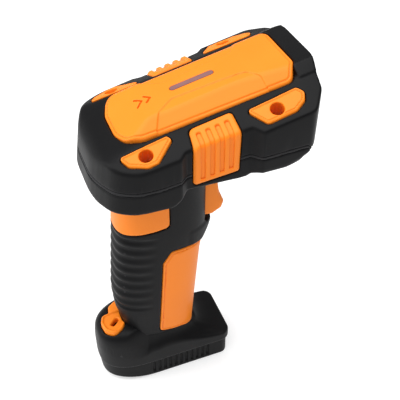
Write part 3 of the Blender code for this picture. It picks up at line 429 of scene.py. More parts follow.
def thinned(body, share):
    """Collapse a mesh to a share of its faces, which flat areas don't need."""
    change = body.modifiers.new("thin", "DECIMATE")
    change.ratio = share
    bpy.context.view_layer.update()
    graph = bpy.context.evaluated_depsgraph_get()
    mesh = bpy.data.meshes.new_from_object(body.evaluated_get(graph))
    body.modifiers.clear()
    old = body.data
    body.data = mesh
    bpy.data.meshes.remove(old)
    mesh.shade_smooth()


def moulding(name, node, field, step, looks, slot, box=None, frame=None, share=SHARE, body="housing"):
    """Skin a field inside a box (low, high) of its own frame and set it in place of a CAD node."""
    box, margin = box or node_box(node), 1.5 * step
    low, high = np.array(box[0]) - margin, np.array(box[1]) + margin
    axes = [np.arange(low[i], high[i] + step, step, dtype=np.float32) for i in range(3)]
    x, y, z = axes[0][:, None, None], axes[1][None, :, None], axes[2][None, None, :]
    values = np.broadcast_to(field(x, y, z), tuple(len(axis) for axis in axes)).astype(np.float32)
    points, quads = surface_net(values)
    made = bpy.data.objects.new(name, mesh_from(name, (low + points * step), quads))
    bpy.context.scene.collection.objects.link(made)
    made.data.transform(Matrix.Scale(MM, 4) @ (frame or Matrix()))
    thinned(made, share)
    made.data.materials.clear()
    made.data.materials.append(looks[slot])
    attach(made, body)
    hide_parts(node)


def node_box(*nodes):
    """The box around CAD nodes, in millimetres."""
    corners = [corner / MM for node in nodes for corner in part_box(node)]
    return [[limit(corner[i] for corner in corners) for i in range(3)] for limit in (min, max)]


# ---------------------------------------------------------------- head

class Head:
    """The head's outer form and the outlines cut into it."""

    def __init__(self):
        self.plan = Outline(mirrored(HEAD_PLAN))
        self.rear = Outline(mirrored(REAR_PLAN))
        self.side = Outline(HEAD_SIDE)
        self.collar = Outline(COLLAR)
        self.panel = Outline(mirrored(PANEL))
        self.lamp = Outline(LAMP_SLOT)
        self.grip = Outline(SIDE_GRIP)
        self.window = Outline(WINDOW)
        self.pads = {place: Outline(outline) for place, (outline, _, _) in PADS.items()}

    def local(self, x, z):
        """World x and z in the head frame: s forward along the deck, h up from it."""
        dx, dz = x - DECK_X, z - DECK_Z
        return (dx * math.cos(PITCH) + dz * math.sin(PITCH),
                dz * math.cos(PITCH) - dx * math.sin(PITCH))

    def solid(self, x, y, z):
        """The head without its walls, rounder below than above and roundest under the nose."""
        s, h = self.local(x, z)
        under = (UNDER_EDGE + UNDER_EDGE_FRONT * fade(x, *FRONT_X)
                 + UNDER_EDGE_CORNER * fade(x, *CORNER_X) * fade(np.abs(y), *CORNER_Y))
        plan = common(self.plan(x, y), self.side(x, z), SIDE_EDGE + (1 - fade(z, *UNDER_Z)) * under)
        block = common(plan, self.rear(x - REAR_LEAN * (z - REAR_LEAN_Z), y), REAR_EDGE)
        slope = ((np.abs(y) - DECK_HALF) * math.sin(SHOULDER)
                 + (h - DECK_H) * math.cos(SHOULDER))
        roof = common(h - DECK_H, slope, DECK_EDGE)
        collar = common(self.collar(y, h), COLLAR_S - s, COLLAR_EDGE)
        roof = join(roof, collar, COLLAR_FILLET)
        return common(roof, block, SHOULDER_EDGE + SHOULDER_EDGE_REAR * (1 - fade(x, *SHOULDER_RANGE)))

    def seam(self, x, z):
        """Height above the seam between the two shells."""
        xs, zs = zip(*SEAM_LINE)
        return z - np.interp(x, xs, zs).astype(np.float32)

    def window_cut(self, x, y, z):
        a, b, c = moved(front_frame().inverted(), x, y, z)
        return np.maximum(self.window(a, b) - GAP, slab(c, *WINDOW_CUT))

    def grip_area(self, x, y, z, grow):
        return common(self.grip(x, z) - grow, GRIP_INNER_Y - grow - np.abs(y), GRIP_CORNER)

    def grip_recess(self, solid, x, y, z):
        return np.maximum(self.grip_area(x, y, z, GAP), -(solid + GRIP_DEPTH + GAP))

    def pad_area(self, s, y, h, place, grow):
        return np.maximum(self.pads[place](s, np.abs(y)) - grow, PAD_SEAT - grow - h)

    def shell(self, x, y, z):
        """Both shells in one, with the side grips' recesses and the window's opening."""
        solid = self.solid(x, y, z)
        body = np.maximum(solid, -(solid + WALL))
        body = cut(body, self.grip_recess(solid, x, y, z), RECESS_EDGE)
        return cut(body, self.window_cut(x, y, z), RECESS_EDGE)

    def upper(self, x, y, z):
        s, h = self.local(x, z)
        body = self.shell(x, y, z)
        seat = np.maximum(self.panel(s, y) - GAP, DECK_H - PANEL_THICK - GAP - h)
        body = cut(body, seat, SEAT_EDGE)
        body = cut(body, self.lamp(s, y) - LAMP_GAP)
        for place in PADS:
            body = cut(body, self.pad_area(s, y, h, place, GAP), RECESS_EDGE)
        return common(body, SEAM_GAP - self.seam(x, z), SEAM_EDGE)

    def lower(self, x, y, z):
        body = self.shell(x, y, z)
        body = cut(body, handle_field(x, y, z) - GAP, NECK_EDGE)
        return common(body, self.seam(x, z) + SEAM_STEP + SEAM_GAP, SEAM_EDGE)

    def gasket(self, x, y, z):
        solid = self.solid(x, y, z)
        band = np.maximum(solid + SEAM_SUNK, -(solid + WALL))
        band = cut(cut(band, self.grip_recess(solid, x, y, z)), self.window_cut(x, y, z))
        return np.maximum(band, slab(self.seam(x, z), SEAM_GAP - SEAM_STEP, -SEAM_GAP))

    def side_grip(self, side):
        """Finger grip that runs down the shoulder and the side, with upright grooves."""
        def field(x, y, z):
            solid = self.solid(x, y, z)
            area = common(self.grip_area(x, side * np.maximum(side * y, 0), z, 0), -side * y)
            body = chamfered(solid - GRIP_PROUD, area, GRIP_CHAMFER)
            for index in range(GROOVES):
                middle = GROOVE_FIRST + index * GROOVE_PITCH
                low = GROOVE_LOW + math.tan(PITCH) * middle
                inner = GRIP_INNER_Y + GROOVE_INSET
                groove = common(np.abs(x - middle) - GROOVE_HALF,
                                np.maximum(low - z, inner - side * y), GROOVE_CORNER)
                body = engraved(body, groove, GROOVE_DEPTH, GROOVE_EDGE)
            return np.maximum(body, -(solid + GRIP_DEPTH))
        return field

    def pad(self, place, side):
        """Screw pad with its boss, a deep well for the screw's head and the shank's hole."""
        _, _, well_y = PADS[place]
        to_well = well_frame(place, side).inverted() @ head_frame()

        def field(s, y, h):
            x, _, z = moved(head_frame(), s, y, h)
            solid = self.solid(x, y, z)
            area = np.maximum(self.pad_area(s, y, h, place, 0), -side * y)
            leg = PAD_CHAMFER + PAD_CHAMFER_OUTER * fade(np.abs(y) - well_y, *PAD_CHAMFER_RANGE)
            body = chamfered(solid - PAD_PROUD, area, leg)
            body = engraved(body, line(area, PAD_LINE_INSET, PAD_LINE_HALF), PAD_LINE_DEPTH,
                            PAD_LINE_EDGE)
            body = np.maximum(body, -(solid + WALL + PAD_EXTRA))
            a, b, c = moved(to_well, s, y, h)
            boss = np.maximum(rod(a, b, WELL_R + BOSS_WALL), slab(c, -WELL_DEPTH - BOSS_FLOOR, -WALL))
            body = join(body, boss)
            well = np.maximum(rod(a, b, WELL_R), -WELL_DEPTH - c)
            body = cut(body, well, WELL_EDGE)
            return cut(body, np.maximum(rod(a, b, SHANK_R), c))
        return field

    def top_panel(self):
        """Crowned cover with a facet down each side, a rim line, two chevrons and the lamp's slot."""
        roof, crown, facet = Outline(PANEL_ROOF), Outline(PANEL_CROWN), Outline(FACET)

        def field(s, y, h):
            outline = self.panel(s, y)
            top = common(roof(y, h), crown(s, h), ROOF_EDGE)
            top = engraved(top, facet(s, np.abs(y)), FACET_DEPTH, FACET_EDGE)
            top = engraved(top, line(outline, RIM_INSET, RIM_HALF), RIM_DEPTH, RIM_EDGE)
            for tip, end, wide in CHEVRONS:
                mark = stroke(s, np.abs(y), (tip, 0), (end, wide), CHEVRON_HALF)
                top = engraved(top, mark, CHEVRON_DEPTH, CHEVRON_EDGE)
            body = common(top, outline, PANEL_EDGE)
            body = np.maximum(body, DECK_H - PANEL_THICK - h)
            return cut(body, self.lamp(s, y), LAMP_EDGE)
        return field

    def bezel(self, a, b, c):
        """Window frame: a rim, a flared opening and a step for the glass."""
        outline = self.window(a, b)
        body = common(outline, slab(c, BEZEL_LOW, BEZEL_HIGH), BEZEL_EDGE)
        flare = np.maximum(c + GLASS_SEAT, 0) * BEZEL_FLARE
        body = cut(body, (outline + BEZEL_RIM - flare) * BEZEL_SCALE, BEZEL_INNER_EDGE)
        return cut(body, np.maximum(outline + GLASS_RIM, c + GLASS_SEAT))


def seam_box():
    """The box around the gasket: the head's, between the seam's lowest and highest point."""
    low, high = node_box("head_upper_shell", "head_lower_shell")
    heights = [z for _, z in SEAM_LINE]
    return (*low[:2], min(heights) - SEAM_BELOW), (*high[:2], max(heights) + SEAM_ABOVE)


def pad_box(outline, side):
    s, y = [corner[0] for corner in outline], [side * corner[1] for corner in outline]
    low_h, high_h = PAD_ROOM_H
    return ((min(s) - PAD_ROOM_S, min(y) - PAD_ROOM_Y, low_h),
            (max(s) + PAD_ROOM_S, max(y) + PAD_ROOM_Y, high_h))


def head_pieces(looks):
    head = Head()
    moulding("head_shell_upper", "head_upper_shell", head.upper, SHELL_STEP, looks, "black_rubber")
    moulding("head_shell_lower", "head_lower_shell", head.lower, SHELL_STEP, looks, "black_rubber")
    moulding("head_seam_gasket", "head_gasket", head.gasket, TRIM_STEP, looks, "seal_rubber",
             seam_box())
    moulding("top_cover_panel", "top_panel", head.top_panel(), FINE_STEP, looks, "orange_plastic",
             PANEL_BOX, head_frame(), FINE_SHARE)
    for side, label in ((1, "left"), (-1, "right")):
        for place, (outline, _, _) in PADS.items():
            corner = place + "_" + label
            moulding("screw_boss_" + corner, "screw_pad_" + corner, head.pad(place, side), FINE_STEP,
                     looks, "orange_plastic", pad_box(outline, side), head_frame(), FINE_SHARE)
        moulding("finger_grip_" + label, "side_grip_" + label, head.side_grip(side), FINE_STEP,
                 looks, "orange_plastic", share=FINE_SHARE)
    moulding("window_frame", "window_bezel", head.bezel, CAP_STEP, looks, "black_plastic",
             BEZEL_BOX, front_frame())


# ---------------------------------------------------------------- handle

def handle_field(x, y, z, grow=0.0, ribs=False):
    """The handle's oval section, read from its table of levels."""
    levels, rears, fronts, halves = (np.array(column) for column in zip(*HANDLE))
    rear, front = np.interp(z, levels, rears), np.interp(z, levels, fronts)
    half = np.interp(z, levels, halves).astype(np.float32)
    middle = ((rear + front) / 2).astype(np.float32)
    reach = ((front - rear) / 2).astype(np.float32)
    tiny = 1e-4                     # keeps the middle of the handle off zero
    u, v = np.abs(x - middle) / reach + tiny, np.abs(y) / half + tiny
    form = (u ** OVAL + v ** OVAL) ** (1 / OVAL)
    steep = np.hypot((u / form) ** (OVAL - 1) / reach, (v / form) ** (OVAL - 1) / half)
    distance = (form - 1) / steep - grow
    if ribs:
        wave = 0.5 + 0.5 * np.cos(2 * math.pi * (z - RIB_LOW) / RIB_PITCH)
        on = fade(z, RIB_LOW - RIB_FADE, RIB_LOW) * (1 - fade(z, RIB_HIGH, RIB_HIGH + RIB_FADE))
        back = np.clip(((middle - x) / reach - RIB_START) / RIB_SPREAD, 0, 1) ** RIB_POWER
        distance = distance + RIB_DEPTH * wave * on * back
    return distance


def chin_field(chin, x, y, z):
    """The beak under the trigger: its side outline inside an oval seen from above."""
    oval = (np.hypot((x - CHIN_X) / CHIN_REACH, y / CHIN_HALF) - 1) * CHIN_HALF
    return common(chin(x, z), oval, CHIN_EDGE)


def trigger_slot(x, y, z):
    return common(np.maximum(SLOT_BACK - x, np.abs(y) - SLOT_HALF),
                  slab(z, SLOT_LOW, SLOT_HIGH), SLOT_CORNER)


def pin_hole(x, z):
    return rod(x - PIVOT_X, z - PIVOT_Z, PIN_R + PIN_FIT)


def handle_pieces(looks):
    chin, saddle, strip = Outline(CHIN), Outline(SADDLE), Outline(STRIP)
    handle_top = HANDLE[-1][0]

    def grip(x, y, z):
        outer = common(handle_field(x, y, z, 0, True), FOOT_TOP + GAP - z)
        outer = join(outer, chin_field(chin, x, y, z), CHIN_FILLET)
        outer = common(outer, z - handle_top)
        body = cut(outer, handle_field(x, y, z, -GRIP_SKIN))
        body = cut(body, saddle(x, z) - GAP / 2, GRIP_EDGE)
        body = cut(body, strip(x, z) - GAP / 2, GRIP_EDGE)
        body = cut(body, trigger_slot(x, y, z), SLOT_EDGE)
        return cut(body, np.maximum(pin_hole(x, z), np.abs(y) - PIN_REACH))

    def trim(outer, outline, low, x, y, z):
        outer = chamfered(outer, outline(x, z) + GAP / 2, TRIM_CHAMFER)
        outer = np.maximum(outer, low - z)
        return np.maximum(outer, -handle_field(x, y, z, -GRIP_SKIN))

    def neck(x, y, z):
        return trim(handle_field(x, y, z, 0), saddle, SADDLE_LOW, x, y, z)

    def front(x, y, z):
        mark = line(strip(x, z), STRIP_LINE_INSET, STRIP_LINE_HALF)
        outer = engraved(handle_field(x, y, z, STRIP_PROUD),
                         np.maximum(mark, x - STRIP_LINE_FRONT), STRIP_LINE_DEPTH, STRIP_LINE_EDGE)
        return trim(outer, strip, STRIP_LOW, x, y, z)

    moulding("grip_sleeve", "rubber_grip", grip, RUBBER_STEP, looks, "black_rubber")
    moulding("neck_saddle", "handle_saddle", neck, TRIM_STEP, looks, "orange_plastic")
    moulding("handle_front_strip", "front_strip", front, TRIM_STEP, looks, "orange_plastic")


def trigger_piece(looks):
    outline = Outline(TRIGGER)

    def lever(x, y, z):
        body = common(outline(x, z), np.abs(y) - TRIGGER_HALF, TRIGGER_EDGE)
        body = cut(body, pin_hole(x, z))
        hollow = np.maximum(np.maximum(x - HOLLOW_FRONT, np.abs(y) - HOLLOW_HALF), HOLLOW_LOW - z)
        return cut(body, hollow, HOLLOW_EDGE)

    moulding("trigger_lever", "trigger", lever, LEVER_STEP, looks, "orange_plastic", body="trigger")


# ---------------------------------------------------------------- foot

def foot_outline(inset):
    """Foot outline: an oval back, straight sides and a front with round corners."""
    half, front = FOOT_HALF - inset, FOOT_FRONT - inset
    points = []
    for step in range(1, OVAL_STEPS):
        angle = math.pi / 2 + math.pi * step / OVAL_STEPS
        c, s = math.cos(angle), math.sin(angle)
        points.append((FOOT_ROUND_X - (FOOT_ROUND - inset) * abs(c) ** (2 / OVAL),
                       half * math.copysign(abs(s) ** (2 / OVAL), s)))
    for side in (-1, 1):
        for step in range(CORNER_STEPS + 1):
            turn = math.radians(90 * step / CORNER_STEPS) - (math.pi / 2 if side < 0 else 0)
            points.append((front - FOOT_CORNER + FOOT_CORNER * math.cos(turn),
                           side * (half - FOOT_CORNER) + FOOT_CORNER * math.sin(turn)))
    return points


def boot_height(x, y):
    """Height of the boot's upper surface, which sweeps up from the rim into the handle.

    Each ray from the middle follows a quarter wave, hollow at the front and domed at the rear,
    so how far along the wave a point lies is found by halving.
    """
    ring = np.array(foot_outline(BOOT_INSET))
    angles = np.arctan2(ring[:, 1], ring[:, 0] - BOOT_MIDDLE)
    order = np.argsort(angles)
    reach = np.hypot(ring[:, 1], ring[:, 0] - BOOT_MIDDLE)
    angle = np.arctan2(y + 0 * x, x - BOOT_MIDDLE + 0 * y)
    rim = np.interp(angle, angles[order], reach[order], period=2 * math.pi)
    rim_x = BOOT_MIDDLE + rim * np.cos(angle)
    wall = np.interp(rim_x, *zip(*BOOT_CREST))
    rear = fade(-rim_x, *BOOT_REAR)
    root = (np.abs(np.cos(angle) / BOOT_REACH) ** OVAL
            + np.abs(np.sin(angle) / BOOT_HALF) ** OVAL) ** (-1 / OVAL)
    travel = np.clip((rim - np.hypot(x - BOOT_MIDDLE, y)) / (rim - root), 0, 1)
    low, high = np.zeros_like(travel), np.ones_like(travel)
    for _ in range(BOOT_HALVINGS):
        t = (low + high) / 2
        flat, up = np.sin(math.pi / 2 * t), np.cos(math.pi / 2 * t)
        reached = (1 - rear) * flat + rear * (1 - np.maximum(up, 0) ** BOOT_POWER)
        low, high = np.where(reached < travel, t, low), np.where(reached < travel, high, t)
    rise = (1 - rear) * (1 - up) + rear * flat ** BOOT_POWER
    return wall + (BOOT_TOP + BOOT_DOME * rear - wall) * rise


def boot_field(rim, strip, lug):
    """Rubber boot of the foot, open inside for the handle, with room for the strip and the lug."""
    def field(x, y, z):
        height = boot_height(x, y)
        tilt = np.hypot(*np.gradient(height[:, :, 0], RUBBER_STEP))
        tilt = tilt.clip(0, BOOT_STEEPEST)[:, :, None]
        top = (z - height) / np.sqrt(1 + tilt * tilt)
        body = common(rim(x, y), top, BOOT_EDGE)
        body = common(body, FOOT_LOW - z, BOOT_LOW_EDGE)
        body = cut(body, np.maximum(handle_field(x, y, z, -BOOT_BITE), FOOT_TOP - z))
        body = cut(body, handle_field(x, y, z, -GRIP_SKIN))
        body = cut(body, strip(x, z) - GAP / 2, STRIP_EDGE)
        body = cut(body, np.maximum(lug(x, y) - GAP, LUG_LOW - GAP - z), LUG_ROOM_EDGE)
        for screw_x, screw_y in FOOT_SCREWS:
            body = cut(body, np.maximum(rod(x - screw_x, y - screw_y, PILOT_R), z - PILOT_TOP))
        return body
    return field


def cap_field(rim):
    """Base cap: a tray with fluted sides, screw posts, contact holes and the seal's groove."""
    def field(x, y, z):
        side = rim(x, y) + CAP_INSET
        body = chamfered(side, -z, CAP_CHAMFER + CAP_CHAMFER_REAR * (1 - fade(x, *CAP_REAR)))
        body = common(body, z - FOOT_LOW + GAP, CAP_EDGE)
        body = cut(body, np.maximum(side + CAP_WALL, CAP_FLOOR - z))
        for index in range(FLUTES):
            middle = FLUTE_FIRST + index * FLUTE_PITCH + FLUTE_WIDE / 2
            flute = np.maximum(np.abs(x - middle) - FLUTE_WIDE / 2, slab(z, *FLUTE_Z))
            outer = FOOT_HALF - CAP_INSET - FLUTE_DEPTH - np.abs(y)
            body = cut(body, np.maximum(flute, outer), FLUTE_EDGE)
        for screw_x, screw_y in FOOT_SCREWS:
            spot = rod(x - screw_x, y - screw_y, 0)
            body = join(body, np.maximum(spot - POST_R, slab(z, POST_LOW, FOOT_LOW - GAP)))
            body = cut(body, spot - PILOT_R)
            body = cut(body, np.maximum(spot - SCREW_ROOM_R, z - SCREW_ROOM_TOP), HOLE_EDGE)
        for contact_x in CONTACTS:
            body = cut(body, rod(x - contact_x, y, CONTACT_R), HOLE_EDGE)
        return cut(body, np.maximum(slab(-side, *SEAL_BAND), FOOT_LOW - SEAL_DEPTH - z))
    return field


def loop_field(lug):
    """Lanyard loop behind the handle: a dished ring with a slanted hole and a stem."""
    def field(x, y, z):
        outline = lug(x, y)
        body = common(outline, slab(z, LUG_LOW, LUG_HIGH), LUG_EDGE)
        dish = common(np.maximum(outline + LUG_RIM, y - LUG_DISH_Y), LUG_HIGH - LUG_DISH - z,
                      LUG_DISH_CORNER)
        body = cut(body, dish, LUG_DISH_EDGE)
        body = cut(body, stroke(x, y, *LUG_HOLE, LUG_HOLE_HALF), LUG_HOLE_EDGE)
        return cut(body, handle_field(x, y, z, GAP))
    return field


def foot_pieces(looks):
    rim, strip, lug = Outline(points=foot_outline(0.0)), Outline(STRIP), Outline(LUG)
    moulding("foot_boot", "foot_skirt", boot_field(rim, strip, lug), RUBBER_STEP, looks,
             "black_rubber")
    moulding("foot_base_cap", "foot_cap", cap_field(rim), CAP_STEP, looks, "black_plastic")
    moulding("lanyard_loop", "lanyard_lug", loop_field(lug), FINE_STEP, looks, "orange_plastic")


# ---------------------------------------------------------------- materials

def new_look(name):
    """An empty node material with its parts: look, tree, shader and object coordinates."""
    look = bpy.data.materials.new(name)
    look.use_nodes = True
    tree = look.node_tree
    shader = tree.nodes["Principled BSDF"]
    place = tree.nodes.new("ShaderNodeTexCoord")
    return look, tree, shader, place.outputs["Object"]


def noise(tree, place, scale, detail=3.0, rough=0.5):
    made = tree.nodes.new("ShaderNodeTexNoise")
    made.inputs["Scale"].default_value = scale
    made.inputs["Detail"].default_value = detail
    made.inputs["Roughness"].default_value = rough
    tree.links.new(place, made.inputs["Vector"])
    return made.outputs["Fac"]


def spread(tree, value, low, high, start=0.3, end=0.7):
    """Stretch a pattern's middle range over low to high."""
    made = tree.nodes.new("ShaderNodeMapRange")
    for name, number in (("From Min", start), ("From Max", end), ("To Min", low), ("To Max", high)):
        made.inputs[name].default_value = number
    tree.links.new(value, made.inputs["Value"])
    return made.outputs["Result"]


def ramp(tree, value, low_color, high_color, start=0.3, end=0.7):
    """Turn a pattern into a colour that runs from one tone to another."""
    made = tree.nodes.new("ShaderNodeValToRGB")
    stops = ((start, low_color), (end, high_color))
    for element, (place, color) in zip(made.color_ramp.elements, stops):
        element.position = place
        element.color = (*color, 1)
    tree.links.new(value, made.inputs["Fac"])
    return made.outputs["Color"]


def mixed(tree, share, color, other):
    """One colour with a share, from a pattern, of another one."""
    made = tree.nodes.new("ShaderNodeMix")
    made.data_type = "RGBA"
    share_in, color_in, other_in = made.inputs[0], made.inputs[6], made.inputs[7]
    tree.links.new(share, share_in)
    tree.links.new(color, color_in)
    other_in.default_value = (*other, 1)
    return made.outputs[2]


def edges(tree, start, end):
    """1 on outer edges, 0 on flats and in hollows; the other way round if start is above end."""
    made = tree.nodes.new("ShaderNodeNewGeometry")
    return spread(tree, made.outputs["Pointiness"], 0, 1, start, end)


def grain(tree, shader, height, strength, distance):
    made = tree.nodes.new("ShaderNodeBump")
    made.inputs["Strength"].default_value = strength
    made.inputs["Distance"].default_value = distance
    tree.links.new(height, made.inputs["Height"])
    tree.links.new(made.outputs["Normal"], shader.inputs["Normal"])


def rubber_look(name, base, wear_and_highlight_color, rough, specular, bump):
    """Moulded rubber: fine matt grain, handling shine in patches, greyer along its edges from wear and
    from a painted highlight.
    """
    look, tree, shader, place = new_look(name)
    patches = noise(tree, place, scale=45, detail=4)
    fine = noise(tree, place, scale=2400, detail=2, rough=0.6)
    color = ramp(tree, patches, base, [c * 1.35 for c in base])
    # Outer edges get a lighter colour: partly edge wear, partly a painted highlight along the crests
    edge_wear_and_highlight_mask = edges(tree, start=0.52, end=0.62)
    edge_wear_and_highlight_share = tree.nodes.new("ShaderNodeMath")
    edge_wear_and_highlight_share.operation = "MULTIPLY"
    tree.links.new(edge_wear_and_highlight_mask, edge_wear_and_highlight_share.inputs[0])
    tree.links.new(spread(tree, noise(tree, place, scale=220), 0.25, 1.0), edge_wear_and_highlight_share.inputs[1])
    color = mixed(tree, edge_wear_and_highlight_share.outputs[0], color, wear_and_highlight_color)
    tree.links.new(color, shader.inputs["Base Color"])
    tree.links.new(spread(tree, patches, rough - 0.05, rough + 0.07), shader.inputs["Roughness"])
    shader.inputs["Specular IOR Level"].default_value = specular
    grain(tree, shader, fine, strength=bump, distance=0.00008)
    return look


def plastic_look(name, base, deep, rough, specular, bump, grain_scale=1800, hollow=None):
    """Moulded plastic: spark-eroded grain, faint flow clouds, paler rubbed edges, and painted shade in
    hollows when a hollow colour is given.
    """
    look, tree, shader, place = new_look(name)
    clouds = noise(tree, place, scale=28)
    fine = noise(tree, place, scale=grain_scale, rough=0.55)
    color = ramp(tree, clouds, deep, base, start=0.25, end=0.75)
    pale = [min(1.0, c * 1.1 + 0.03) for c in base]
    color = mixed(tree, edges(tree, start=0.53, end=0.68), color, pale)
    # The hollow colour is painted shade: it darkens grooves, holes and inner corners
    if hollow:
        color = mixed(tree, edges(tree, start=0.485, end=0.42), color, hollow)
    tree.links.new(color, shader.inputs["Base Color"])
    tree.links.new(spread(tree, clouds, rough - 0.04, rough + 0.06), shader.inputs["Roughness"])
    shader.inputs["Specular IOR Level"].default_value = specular
    grain(tree, shader, fine, strength=bump, distance=0.00006)
    return look


def metal_look(name, base, rough, stretch=(1, 1, 12)):
    """Machined or plated metal: fine drawn lines and uneven polish."""
    look, tree, shader, place = new_look(name)
    turn = tree.nodes.new("ShaderNodeMapping")
    turn.inputs["Scale"].default_value = stretch
    tree.links.new(place, turn.inputs["Vector"])
    lines = noise(tree, turn.outputs["Vector"], scale=600, detail=4)
    color = ramp(tree, lines, [c * 0.8 for c in base], base)
    tree.links.new(color, shader.inputs["Base Color"])
    tree.links.new(spread(tree, lines, rough, rough + 0.18), shader.inputs["Roughness"])
    shader.inputs["Metallic"].default_value = 1.0
    grain(tree, shader, lines, strength=0.25, distance=0.00004)
    return look


def glass_look(name, base, rough, see_through):
    """Tinted glazing with faint smudges."""
    look, tree, shader, place = new_look(name)
    smudge = noise(tree, place, scale=120, detail=5)
    pale = [min(1, c * 1.3 + 0.01) for c in base]
    tree.links.new(ramp(tree, smudge, base, pale, end=0.8), shader.inputs["Base Color"])
    tree.links.new(spread(tree, smudge, rough, rough + 0.06), shader.inputs["Roughness"])
    shader.inputs["Transmission Weight"].default_value = see_through
    shader.inputs["IOR"].default_value = 1.5
    grain(tree, shader, smudge, strength=0.05, distance=0.00003)
    return look


def board_look():
    """Circuit board: green mask with copper tracks and pale pads."""
    look, tree, shader, place = new_look("board_green")
    tracks = tree.nodes.new("ShaderNodeTexBrick")
    tracks.inputs["Scale"].default_value = 240
    tracks.inputs["Mortar Size"].default_value = 0.03
    tracks.inputs["Color1"].default_value = (0.010, 0.10, 0.045, 1)
    tracks.inputs["Color2"].default_value = (0.012, 0.13, 0.055, 1)
    tracks.inputs["Mortar"].default_value = (0.05, 0.26, 0.10, 1)
    tree.links.new(place, tracks.inputs["Vector"])
    dots = tree.nodes.new("ShaderNodeTexVoronoi")
    dots.inputs["Scale"].default_value = 420
    tree.links.new(place, dots.inputs["Vector"])
    pads = spread(tree, dots.outputs["Distance"], 1, 0, start=0.16, end=0.2)
    tree.links.new(mixed(tree, pads, tracks.outputs["Color"], (0.7, 0.62, 0.4)),
                   shader.inputs["Base Color"])
    tree.links.new(spread(tree, noise(tree, place, scale=300), 0.35, 0.5), shader.inputs["Roughness"])
    grain(tree, shader, tracks.outputs["Fac"], strength=0.3, distance=0.00005)
    return look


def sleeve_look(name, base, second):
    """Printed shrink wrap or card: fine fibres and soft creases."""
    look, tree, shader, place = new_look(name)
    crease = noise(tree, place, scale=160, detail=5, rough=0.6)
    tree.links.new(ramp(tree, crease, base, second, start=0.35), shader.inputs["Base Color"])
    tree.links.new(spread(tree, crease, 0.35, 0.55), shader.inputs["Roughness"])
    grain(tree, shader, crease, strength=0.3, distance=0.00012)
    return look


def all_looks():
    """One look for each material slot of the record."""
    return {
        "black_rubber": rubber_look("rubber_black", base=(0.0036, 0.0036, 0.0040),
                                    wear_and_highlight_color=(0.026, 0.026, 0.028), rough=0.43, specular=0.12, bump=0.35),
        "seal_rubber": rubber_look("rubber_seal", base=(0.012, 0.012, 0.013),
                                   wear_and_highlight_color=(0.03, 0.03, 0.03), rough=0.66, specular=0.25, bump=0.3),
        "black_plastic": plastic_look("plastic_black", base=(0.0044, 0.0044, 0.0048),
                                      deep=(0.0036, 0.0036, 0.0040), rough=0.44, specular=0.10,
                                      bump=0.3, grain_scale=1500),
        # The orange's hollow colour is painted shade in its grooves and holes
        "orange_plastic": plastic_look("plastic_orange", base=(0.93, 0.240, 0.014),
                                       deep=(0.88, 0.218, 0.011), rough=0.42, specular=0.2,
                                       bump=0.25, hollow=(0.66, 0.075, 0.005)),
        "plunger_red": plastic_look("plastic_red", base=(0.5, 0.03, 0.02), deep=(0.4, 0.02, 0.015),
                                    rough=0.38, specular=0.5, bump=0.2),
        "steel": metal_look("steel_plated", base=(0.5, 0.5, 0.52), rough=0.28),
        "zinc_frame": metal_look("zinc_cast", base=(0.4, 0.41, 0.43), rough=0.42, stretch=(1, 1, 1)),
        "brass_contact": metal_look("brass_gilt", base=(0.78, 0.56, 0.2), rough=0.22),
        "smoked_lens": glass_look("lens_smoked", base=(0.22, 0.10, 0.10), rough=0.3,
                                  see_through=0.12),
        "window_glass": glass_look("glass_tinted", base=(0.30, 0.05, 0.06), rough=0.03,
                                   see_through=0.8),
        "lens_glass": glass_look("glass_lens", base=(0.35, 0.38, 0.55), rough=0.02, see_through=0.7),
        "lamp": glass_look("lamp_resin", base=(0.85, 0.8, 0.62), rough=0.12, see_through=0.35),
        "circuit_board": board_look(),
        "battery_wrap": sleeve_look("wrap_blue", (0.03, 0.13, 0.34), (0.05, 0.18, 0.42)),
        "insulator": sleeve_look("card_insulator", (0.68, 0.64, 0.52), (0.76, 0.72, 0.62)),
    }


def dress_nodes(frame, looks):
    """Give the CAD nodes that stay in view their procedural materials."""
    slots = {material["slot"] for material in frame["record"]["materials"]}
    for node in frame["nodes"].values():
        for place in node.material_slots:
            name = place.material.name.split(".")[0] if place.material else None
            if name in slots:
                place.material = looks[name]


# ---------------------------------------------------------------- stage

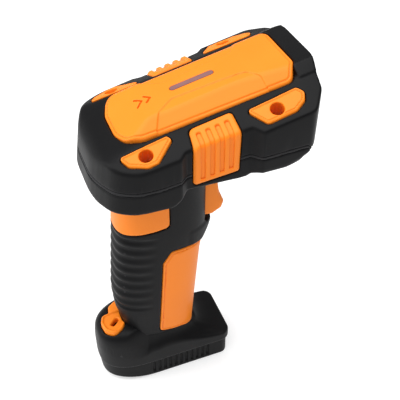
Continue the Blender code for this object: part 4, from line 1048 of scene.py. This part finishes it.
def add_camera():
    data = bpy.data.cameras.new("camera")
    data.lens = CAMERA_LENS
    data.sensor_width = 36.0
    camera = bpy.data.objects.new("camera", data)
    camera.location = CAMERA_AT
    camera.rotation_euler = (CAMERA_TILT, 0, CAMERA_TURN)
    bpy.context.scene.collection.objects.link(camera)
    bpy.context.scene.camera = camera


def add_softbox(name, at, target, size, power):
    data = bpy.data.lights.new(name, "AREA")
    data.shape = "RECTANGLE"
    data.size, data.size_y = size
    data.energy = power
    lamp = bpy.data.objects.new(name, data)
    lamp.location = at
    lamp.rotation_euler = (Vector(target) - Vector(at)).to_track_quat("-Z", "Y").to_euler()
    bpy.context.scene.collection.objects.link(lamp)


def add_floor():
    """A pale paper sweep, bright enough to read as white."""
    mesh = bpy.data.meshes.new("floor")
    half = 6.0
    corners = [(-half, -half, 0), (half, -half, 0), (half, half, 0), (-half, half, 0)]
    mesh.from_pydata(corners, [], [(0, 1, 2, 3)])
    floor = bpy.data.objects.new("floor", mesh)
    bpy.context.scene.collection.objects.link(floor)
    look, tree, shader, place = new_look("floor_paper")
    paper = ramp(tree, noise(tree, place, scale=3), (0.66, 0.66, 0.66), (0.68, 0.68, 0.68))
    tree.links.new(paper, shader.inputs["Base Color"])
    shader.inputs["Emission Color"].default_value = (1, 1, 1, 1)
    shader.inputs["Emission Strength"].default_value = 0.45
    shader.inputs["Roughness"].default_value = 0.9
    shader.inputs["Specular IOR Level"].default_value = 0.1
    mesh.materials.append(look)


def add_light():
    """White surroundings, a large softbox overhead and a weak one from the left."""
    world = bpy.data.worlds.new("studio")
    world.use_nodes = True
    backdrop = world.node_tree.nodes["Background"]
    backdrop.inputs["Color"].default_value = (1, 1, 1, 1)
    backdrop.inputs["Strength"].default_value = 0.38
    bpy.context.scene.world = world
    middle = (0, 0, 0.1)
    add_softbox("key_overhead", at=(-0.15, -0.05, 1.2), target=middle, size=(1.4, 1.4), power=19.0)
    add_softbox("rim_left", at=(-0.8, 0.25, 0.55), target=middle, size=(0.5, 0.7), power=4.0)


def main():
    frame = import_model()
    bpy.context.scene.view_settings.view_transform = "Standard"
    add_camera()
    add_floor()
    add_light()
    looks = all_looks()
    dress_nodes(frame, looks)
    head_pieces(looks)
    handle_pieces(looks)
    trigger_piece(looks)
    foot_pieces(looks)


main()
